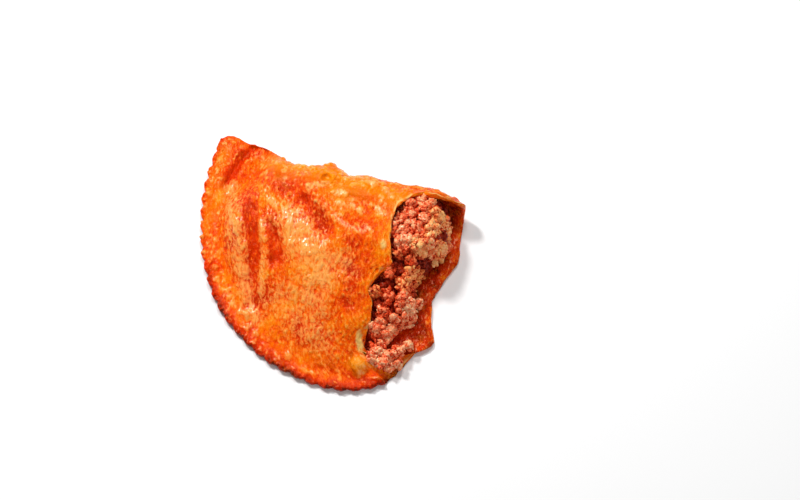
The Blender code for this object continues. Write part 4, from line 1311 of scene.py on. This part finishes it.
@dataclass
class Filling:
    """The minced meat: a core through the pocket, lumpy where it shows in the mouth.

    Attributes:
        moon: The pastry's plan and heights.
        inset: How far inside the pocket's walls the meat stays.
        roof_gap: Room under the upper skin.
        front: x of the meat's front, by share from the fold to the rim.
        heaps: Broad mounds, as x, y, reach along x and y, and height.
        sunk: How far the gaps between lumps lie below the mounds.
        lip: x of the upper skin's torn edge, by share from the fold to the rim.
        mouth: Distance from the fold to the end of that edge.
        spill: Loose lumps in the mouth's lower corner, as x, y, z and radius.
        lumps: The lumps that show.
    """

    moon: HalfMoon
    rows: int = 200
    columns: int = 170
    inset: float = 0.4
    roof_gap: float = 1.2
    front: Table = (
        (0, 128), (0.11, 137), (0.26, 142.5), (0.33, 138.5), (0.48, 135),
        (0.60, 139.5), (0.68, 145), (0.76, 139), (0.85, 136.5), (0.95, 135),
        (1, 131))
    heaps: tuple[tuple[float, float, float, float, float], ...] = (
        (122, -24, 19, 25, 22), (134, -27, 13, 13, 12),
        (120, -50, 18, 15, 13.5), (128, -78, 20, 24, 13.5),
        (100, -40, 26, 40, 22), (70, -45, 50, 60, 26))
    sunk: float = 2.6
    lip: Table = Dough.top_tear
    mouth: float = 109.4
    spill: tuple[tuple[float, float, float, float], ...] = (
        (121.6, -98.8, 5, 3), (126.8, -99.6, 4.6, 3.4), (131.6, -100.6, 4, 2.8),
        (123.6, -94.8, 6.4, 3.2), (130, -95.4, 5.6, 3.6), (135, -97.6, 4, 2.6),
        (134.2, -90.6, 5, 3), (137.4, -85.6, 4.2, 2.3), (133.6, -60.4, 5.4, 2.6))
    # The clumps in the mouth's middle, from about y -42 to -66, have low tones: painted shade.
    lumps: tuple[Lump, ...] = (
        Lump(114.1, -21.8, 5.6, 3.2, 0.90, 0.2), Lump(122.6, -11.9, 5, 3, 0.80, 0.3),
        Lump(129.2, -14.3, 4.8, 3.4, 0.95, 0.8), Lump(135.3, -17, 4.6, 3.4, 0.95, 0.9),
        Lump(121.2, -25.8, 5, 2.8, 0.80, 0), Lump(124.4, -20.5, 3.6, 4.2, 0.75, 0.1),
        Lump(129.6, -24.2, 4.6, 3.4, 0.95, 0.75), Lump(113.8, -31, 4.6, 3.4, 0.95, 0.1),
        Lump(118.6, -36, 5, 4, 1, 0.15), Lump(125.6, -34.8, 5.4, 4.4, 1, 0.6),
        Lump(131.2, -33, 3.6, 4.2, 0.95, 0.5), Lump(135.6, -31, 3.8, 4, 0.95, 0.9),
        Lump(139.4, -25.6, 4.4, 3.2, 0.9, 0.6), Lump(140.4, -32.6, 3.8, 3.6, 0.9, 0.4),
        Lump(117.4, -43.4, 2.6, 3.4, 0.7, 0.7), Lump(123.4, -42.4, 2.8, 1.8, 0.4, 0.2),
        Lump(127.8, -49.6, 5.6, 3.8, 0.75, 0.9), Lump(125.2, -56.6, 5.2, 3.2, 0.7, 0.7),
        Lump(131.8, -45.6, 3.2, 3.4, 0.7, 1), Lump(133.4, -54, 3.8, 2.6, 0.5, 0.5),
        Lump(114.4, -53, 4.6, 2.6, 0.45, 0.2), Lump(111.8, -66.6, 3, 3.6, 0.6, 1),
        Lump(119, -66, 4.2, 3, 0.6, 0.1), Lump(129.6, -66, 5.8, 5, 1, 0),
        Lump(136.4, -65.2, 4.4, 4.2, 1, 0.1), Lump(135.2, -73, 5.4, 4.6, 1, 0),
        Lump(140.4, -70.6, 3.4, 3, 0.8, 0.4), Lump(120.4, -75.6, 4.8, 3.4, 0.8, 0),
        Lump(127.2, -76.4, 4.6, 3.6, 0.9, 0), Lump(119.4, -84, 4.6, 3.4, 0.8, 0),
        Lump(127.4, -84.4, 5.2, 4.4, 0.95, 0), Lump(134, -82.6, 4.6, 3.6, 0.9, 0.05),
        Lump(125.4, -91.4, 5, 4.2, 0.9, 0), Lump(132.6, -90.6, 4.6, 3.4, 0.85, 0.1),
        Lump(126, -98.4, 3, 3.8, 0.95, 0.5), Lump(131.6, -97, 3.6, 3, 0.8, 0.1),
        Lump(112.6, -13.4, 4.8, 4.6, 0.85, 0.2), Lump(118.2, -8.8, 4.6, 4.4, 0.85, 0.3),
        Lump(111.4, -27, 3.6, 3.6, 0.9, 0.1), Lump(105, -30, 6, 2, 0.6, 0.2),
        Lump(105, -50, 6, 2, 0.6, 0.2))

    def pile(self, plan: Array) -> Array:
        """Return the height of the heap of meat."""
        best = np.zeros(len(plan))
        for x, y, reach_x, reach_y, high in self.heaps:
            a = ((plan[:, 0] - x) / reach_x) ** 2 + ((plan[:, 1] - y) / reach_y) ** 2
            best = np.maximum(best, high * np.sqrt(np.maximum(0.0, 1.0 - a * 0.8)))
        return best

    def clumps(self, plan: Array) -> tuple[Array, Array, Array]:
        """Return the clumps' rise, and the tone and fat of the clump at each point; the tone fades
        toward each clump's foot and between clumps as painted shade.
        """
        rise, tone, fat = (np.zeros(len(plan)) for _ in range(3))
        wander = np.column_stack([cloud(plan, 5.0, 3, 1.0), cloud(plan, 5.0, 3, 6.0)]) * 1.3
        for lump in self.lumps:
            away = np.hypot(*(plan + wander - (lump.x, lump.y)).T) / lump.radius
            here = lump.rise * np.sqrt(np.maximum(0.0, 1.0 - away * away))
            over = here > rise
            rise = np.where(over, here, rise)
            tone = np.where(over, lump.tone * smooth(here / lump.rise * 1.6), tone)
            fat = np.where(over, lump.fat, fat)
        return rise, tone, fat

    def dollop(self, x: float, y: float, z: float, radius: float) -> Sheet:
        """Return a loose lump of meat as a closed, uneven ball."""
        turn, fall = np.linspace(0.0, 2.0 * math.pi, 33), np.linspace(0.0, math.pi, 19)
        ring = np.sin(fall)[:, None]
        ball = np.stack([ring * np.cos(turn), ring * np.sin(turn) * 0.86,
                         np.cos(fall)[:, None] * np.ones(len(turn)) * 0.9], axis=2)
        place = ball.reshape(-1, 3) * radius + (x, y, z)
        grow = 1.0 + 0.42 * cloud(place, 3.0, 3, 8.0)
        place = (place - (x, y, z)) * grow[:, None] + (x, y, z)
        place[:, 2] = np.maximum(place[:, 2], 1.6)
        sheet = Sheet(place[:, :2].reshape(len(fall), len(turn), 2), np.zeros(len(turn)))
        sheet.points = self.moon.place(sheet.plan, place[:, 2])
        # The higher parts of a loose lump get more tint and tone: painted light and shade by height.
        high = onset(place[:, 2], 2.4, 1.6)
        sheet.marks = {"open": high, "tint": 0.3 + 0.4 * high, "tone": 0.5 + 0.5 * high,
                       "fat": np.full(len(place), 0.1)}
        return sheet

    def layout(self) -> tuple[Sheet, Array, Array, float]:
        """Return the core's flat grid, its rows' shares, its seal line and its back's offset."""
        moon, inset = self.moon, self.inset
        first, last = moon.seal_start + inset * 20.0, moon.rim_run - moon.seal_inset
        side, back = inset * 8.0, moon.skin + moon.fold_gap + inset * 4.0
        corner = moon.seal(np.array([first]), side * 2.2)[0]
        u = np.linspace(0.0, 1.0, self.rows + 1) ** 0.6
        v = (np.arange(self.columns + 1) / self.columns) ** 1.15
        x = mix(corner[0], self.front[0][1], u)
        share = (x - corner[0]) / (moon.mouth_x() - corner[0])
        fold = np.column_stack([x, mix(corner[1], moon.fold_y(x) - back, smooth(share / 0.14))])
        run = u * 0.985
        extra = 1.0 + 1.2 * smooth(1.0 - run * 4.0) - 0.6 * smooth(run * 5.0 - 4.0)
        seal = moon.seal(mix(first, last, run), side * extra)
        slide = along(self.front, v) - mix(self.front[0][1] - fold[-1, 0],
                                           self.front[-1][1] - seal[-1, 0], v)
        tear = np.column_stack([slide, mix(fold[-1, 1], seal[-1, 1], v)])
        return Sheet(coons(fold, seal, tear, u, v), v), u, seal, back

    def heaped(self, plan: Array, high: Array, floor: Array) -> Array:
        """Return the meat's height before its lumps, between the roof and the floor."""
        x = plan[:, 0]
        hollow = 1.8 * onset(x, 84.0, 16.0) * smooth((108.0 - x) / 6.0)
        room = np.maximum(0.0, high - floor)
        heap = floor + np.maximum(1.2, self.pile(plan))
        roof = high - self.roof_gap * smooth(room / 6.0) - hollow * smooth(room / 12.0)
        return np.maximum(np.minimum(roof, heap), floor)

    def fill(self, top: Sheet, low: Sheet, u: Array, seal: Array,
             back: float) -> None:
        """Give the core's two sheets their heights and marks."""
        moon, plan = self.moon, top.plan
        x, y = plan[:, 0], plan[:, 1]
        depth, behind = top.before_seal(seal[::2]), moon.before_back(top, back)
        high = moon.inner(plan, Side.TOP, top.v, behind, depth, self.inset)
        floor = moon.inner(plan, Side.SOLE, top.v, behind, depth, self.inset)
        closing = quarter((1.0 - np.repeat(u, top.columns)) * 120.0, 7.0)
        z = mix(floor, self.heaped(plan, high, floor), closing)
        rise, tone, fat = self.clumps(plan)
        curds = cloud(np.column_stack([plan, z]), 2.3, 3, 2.0) * 1.2
        lip = along(self.lip, np.clip(-y / self.mouth, 0.0, 1.0))
        out = smooth((x - lip - 5.0 * bell(y, -58.0, 9.0) + 2.5) / 4.5)
        lumpy = rise * 1.3 - self.sunk * mix(1.0, 0.3, out) + curds * 0.8
        lumpy = lumpy * onset(x, 96.0, 8.0) * closing
        z = z + lumpy * smooth(np.maximum(0.0, high - floor) / 3.0)
        covered = lip - 1.0
        z = np.minimum(z, high - 0.7 + 30.0 * smooth((x - covered) / 6.0))
        z = np.maximum(z, floor)
        top.points, low.points = moon.place(plan, z), moon.place(plan, floor)
        # The tint rises with the curds' height and fades where the meat thins to the floor: painted
        # light and shade.
        solid = smooth((z - floor) / 2.0)
        top.marks = {"open": smooth((x - covered + 4.0) / 5.0) * solid,
                     "tint": np.clip(0.42 + 0.5 * curds, 0.0, 1.0) * solid,
                     "tone": tone, "fat": fat}
        low.marks = {**top.marks, "open": np.zeros(len(x))}

    def core(self) -> bpy.types.Object:
        """Return the body of the meat with its loose lumps."""
        top, u, seal, back = self.layout()
        low = Sheet(top.plan.reshape(top.rows, -1, 2), top.v.reshape(top.rows, -1))
        self.fill(top, low, u, seal, back)
        shell = Shell()
        shell.add(top)
        shell.add(low)
        shell.sew(top, low)
        low.index[-1, :] = top.index[-1, :]
        shell.skin(top, False)
        shell.skin(low, True)
        for lump in self.spill:
            ball = self.dollop(*lump)
            shell.add(ball)
            ball.index[:, -1] = ball.index[:, 0]
            ball.index[0, :] = ball.index[0, 0]
            ball.index[-1, :] = ball.index[-1, 0]
            shell.skin(ball, False)
        return shell.mesh("meat_core")


@dataclass(frozen=True)
class Grains:
    """Grains of one kind scattered over the meat by a node tree.

    Attributes:
        name: The piece's name.
        gap: Least distance between grains, in metres.
        small: Smallest radius.
        large: Largest radius.
        finer: Subdivision of a grain.
        rough: How far its surface wanders, as a share of its radius.
        seed: Fixes where the grains fall.
        tints: Darkest and palest tint.
        amount: Share of the places that get a grain.
        kinds: How many shapes of grain there are.
        long: How many times longer than wide the plainest one is.
    """

    name: str
    gap: float
    small: float
    large: float
    finer: int
    rough: float
    seed: int
    tints: tuple[float, float]
    amount: float = 1.0
    kinds: int = 6
    long: float = 1.0

    def tree(self, finish: bpy.types.Material) -> bpy.types.NodeTree:
        """Return the node tree that scatters the grains."""
        tree = bpy.data.node_groups.new(self.name, "GeometryNodeTree")
        sockets = tree.interface
        sockets.new_socket("Geometry", in_out="INPUT", socket_type="NodeSocketGeometry")
        for key in ("Gap", "Smallest", "Largest", "Amount"):
            sockets.new_socket(key, in_out="INPUT", socket_type="NodeSocketFloat")
        sockets.new_socket("Geometry", in_out="OUTPUT", socket_type="NodeSocketGeometry")
        g = Graph(tree)
        given = g.node("NodeGroupInput")
        shows = g.node("GeometryNodeInputNamedAttribute", {"data_type": "FLOAT"},
                       {"Name": "open"})["Attribute"]
        spots = g.node("GeometryNodeDistributePointsOnFaces", {"distribute_method": "POISSON"}, {
            "Mesh": given["Geometry"], "Distance Min": given["Gap"],
            "Density Max": MOST_GRAINS, "Density Factor": shows * given["Amount"],
            "Seed": self.seed})
        shapes = [self.grain(g, i) for i in range(self.kinds)]
        library = g.node("GeometryNodeJoinGeometry", {}, {"Geometry": shapes})["Geometry"]
        turn = self.draw(g, "FLOAT_VECTOR", (0.0,) * 3, (FULL_TURN,) * 3, 1)
        size = self.draw(g, "FLOAT", given["Smallest"], given["Largest"], 2)
        tint = self.draw(g, "FLOAT", *self.tints, 3)
        placed = g.node("GeometryNodeInstanceOnPoints", {}, {
            "Points": spots["Points"], "Instance": library, "Pick Instance": True,
            "Rotation": turn, "Scale": size})["Instances"]
        tinted = g.node("GeometryNodeStoreNamedAttribute",
                        {"data_type": "FLOAT", "domain": "INSTANCE"},
                        {"Geometry": placed, "Name": "tint", "Value": tint})["Geometry"]
        real = g.node("GeometryNodeRealizeInstances", {}, {"Geometry": tinted})["Geometry"]
        soft = g.node("GeometryNodeSetShadeSmooth", {}, {"Geometry": real})["Geometry"]
        done = g.node("GeometryNodeSetMaterial", {},
                      {"Geometry": soft, "Material": finish})["Geometry"]
        g.node("NodeGroupOutput", {}, {"Geometry": done})
        return tree

    def draw(self, g: Graph, kind: str, low: Any, high: Any, seed: int) -> Wire:
        """Return a random value between two others for each grain."""
        inputs = {"Min": low, "Max": high, "Seed": self.seed + seed}
        return g.node("FunctionNodeRandomValue", {"data_type": kind}, inputs)["Value"]

    def grain(self, g: Graph, kind: int) -> Wire:
        """Return one shape of grain as an instance of radius one."""
        ball = g.node("GeometryNodeMeshIcoSphere", {},
                      {"Radius": 1.0, "Subdivisions": self.finer})["Mesh"]
        position = g.node("GeometryNodeInputPosition")["Position"]
        wave = g.grain(g.moved(position, (kind * 3.7, kind * 1.3, self.seed * 0.7)),
                       1.7, 2.0, 0.7)
        push = g.scaled(position, (wave - 0.5) * (self.rough * 2.0))
        rough = g.node("GeometryNodeSetPosition", {},
                       {"Geometry": ball, "Offset": push})["Geometry"]
        stretch = (self.long * (1.0 + 0.45 * ((kind * 0.37) % 1.0)), 0.8 + 0.1 * (kind % 3), 0.75)
        shaped = g.node("GeometryNodeTransform", {},
                        {"Geometry": rough, "Scale": stretch})["Geometry"]
        return g.node("GeometryNodeGeometryToInstance", {}, {"Geometry": shaped})["Instances"]

    def build(self, core: bpy.types.Object, finish: bpy.types.Material) -> bpy.types.Object:
        """Return the grains as one plain mesh.

        Args:
            core: The meat's core, whose "open" mark says where grains fall.
            finish: The grains' material.

        Returns:
            The scattered grains, realized, at the origin.
        """
        tree = self.tree(finish)
        host = add_object(self.name, core.data)
        modifier = host.modifiers.new(self.name, "NODES")
        modifier.node_group = tree
        values = {"Gap": self.gap, "Smallest": self.small, "Largest": self.large,
                  "Amount": self.amount}
        for socket in tree.interface.items_tree:
            if socket.in_out == "INPUT" and socket.name in values:
                modifier[socket.identifier] = values[socket.name]
        host.update_tag()
        graph = bpy.context.evaluated_depsgraph_get()
        graph.update()
        mesh = bpy.data.meshes.new_from_object(host.evaluated_get(graph))
        host.modifiers.clear()
        host.data = mesh
        mesh.name = self.name
        return host


def fit_to_box(item: bpy.types.Object, low: Vector, high: Vector,
               room: float = 0.0018) -> None:
    """Keep a piece's points inside the object's box, with no flats where it is highest.

    Args:
        item: The piece.
        low: The box's lowest corner.
        high: The box's highest corner.
        room: Depth under the top over which the relief is pressed together.
    """
    count = len(item.data.vertices)
    points = np.empty(count * 3)
    item.data.vertices.foreach_get("co", points)
    points = points.reshape(-1, 3)
    start = high.z - room
    over = np.maximum(0.0, points[:, 2] - start) / room
    points[:, 2] = np.minimum(points[:, 2], start) + room * (1.0 - np.exp(-over))
    points = np.clip(points, np.array(low), np.array(high))
    item.data.vertices.foreach_set("co", points.reshape(-1))
    item.data.update()


# ------------------------------------------------------------------------------- studio


def aim(item: bpy.types.Object, azimuth: float, elevation: float, distance: float,
        target: tuple[float, float] = (0.0, 0.0)) -> None:
    """Hang a light or camera around a point of the floor and turn it to look there."""
    a, e = math.radians(azimuth), math.radians(elevation)
    back = Vector((math.sin(a) * math.cos(e), -math.cos(a) * math.cos(e), math.sin(e)))
    item.location = Vector((*target, 0.0)) + back * distance
    item.rotation_mode = "QUATERNION"
    item.rotation_quaternion = (-back).to_track_quat("-Z", "Y")


@dataclass(frozen=True)
class Softbox:
    """A round softbox: where it hangs in degrees and metres, its size and its power."""

    name: str
    azimuth: float
    elevation: float
    distance: float
    size: float
    watts: float

    def build(self) -> None:
        """Hang the softbox."""
        data = bpy.data.lights.new(self.name, "AREA")
        data.shape, data.size, data.energy = "DISK", self.size, self.watts
        aim(add_object(self.name, data), self.azimuth, self.elevation, self.distance)


@dataclass(frozen=True)
class Studio:
    """Floor, lights and camera; the camera looks from above, a little from the right."""

    softboxes: tuple[Softbox, ...] = (
        Softbox("key_softbox", -122.0, 48.0, 1.2, 0.2, 11.5),
        Softbox("top_softbox", -168.0, 60.0, 1.3, 0.4, 6.0),
        Softbox("fill_softbox", 60.0, 35.0, 1.6, 0.8, 4.0))
    sky: float = 0.26
    floor_size: float = 6.0
    floor_z: float = -0.0002
    floor_colour: Colour = (0.92, 0.92, 0.92)
    turn: float = 19.2
    elevation: float = 64.0
    distance: float = 4.803
    target: tuple[float, float] = (0.0391, 0.0289)
    lens: float = 400.0
    sensor: float = 36.0

    def floor(self) -> None:
        """Add the pale floor."""
        bpy.ops.mesh.primitive_plane_add(size=self.floor_size, location=(0.0, 0.0, self.floor_z))
        item = bpy.context.object
        item.name = "studio_floor"
        made, g = new_material("studio_floor")
        g.surface({"Base Color": self.floor_colour, "Roughness": 0.9, "Specular IOR Level": 0.1})
        item.data.materials.append(made)
        item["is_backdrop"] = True

    def camera(self) -> None:
        """Add the camera."""
        data = bpy.data.cameras.new("camera")
        data.lens, data.sensor_width = self.lens, self.sensor
        data.clip_start, data.clip_end = 0.05, 20.0
        item = add_object("camera", data)
        aim(item, self.turn, self.elevation, self.distance, self.target)
        bpy.context.scene.camera = item

    def build(self) -> None:
        """Set the stage."""
        self.floor()
        for softbox in self.softboxes:
            softbox.build()
        self.camera()
        scene = bpy.context.scene
        scene.world = bpy.data.worlds.new("studio")
        scene.world.use_nodes = True
        background = scene.world.node_tree.nodes["Background"]
        background.inputs["Color"].default_value = (1.0, 1.0, 1.0, 1.0)
        background.inputs["Strength"].default_value = self.sky
        scene.view_settings.view_transform = "Standard"


def main() -> None:
    """Build and dress the pastry."""
    logging.basicConfig(level=logging.INFO, format="%(message)s")
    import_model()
    low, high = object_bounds()
    moon = HalfMoon()
    crust = Dough(moon).build()
    crust.data.materials.append(FriedCrust().material())
    fit_to_box(crust, low, high)
    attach(crust, "root")
    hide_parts("dough")
    LOG.info("crust: %d faces", len(crust.data.polygons))

    core = Filling(moon).core()
    meat = CookedMeat().material()
    core.data.materials.append(meat)
    kinds = (
        Grains("mince_grains", gap=0.00165, small=0.0007, large=0.0013, finer=2, rough=0.9,
               seed=5, tints=(0.1, 1.0), amount=0.7, kinds=8, long=1.3),
        Grains("mince_curds", gap=0.0031, small=0.0013, large=0.0021, finer=2, rough=1.1,
               seed=31, tints=(0.2, 1.0), amount=0.85, kinds=8, long=1.15),
        Grains("mince_strands", gap=0.0052, small=0.0008, large=0.0012, finer=2, rough=0.7,
               seed=12, tints=(0.3, 1.0), amount=0.7, kinds=5, long=2.2),
        Grains("mince_nuggets", gap=0.0068, small=0.0020, large=0.0029, finer=3, rough=1.0,
               seed=19, tints=(0.4, 0.95), amount=0.7),
    )
    pieces = [core]
    for kind in kinds:
        piece = kind.build(core, meat)
        LOG.info("%s: %d faces", piece.name, len(piece.data.polygons))
        pieces.append(piece)
    bed = low + Vector((0.0, 0.0, MEAT_BED))
    for piece in pieces:
        fit_to_box(piece, bed, high)
        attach(piece, "root")
        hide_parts("filling")

    Studio().build()


if __name__ == "__main__":
    main()
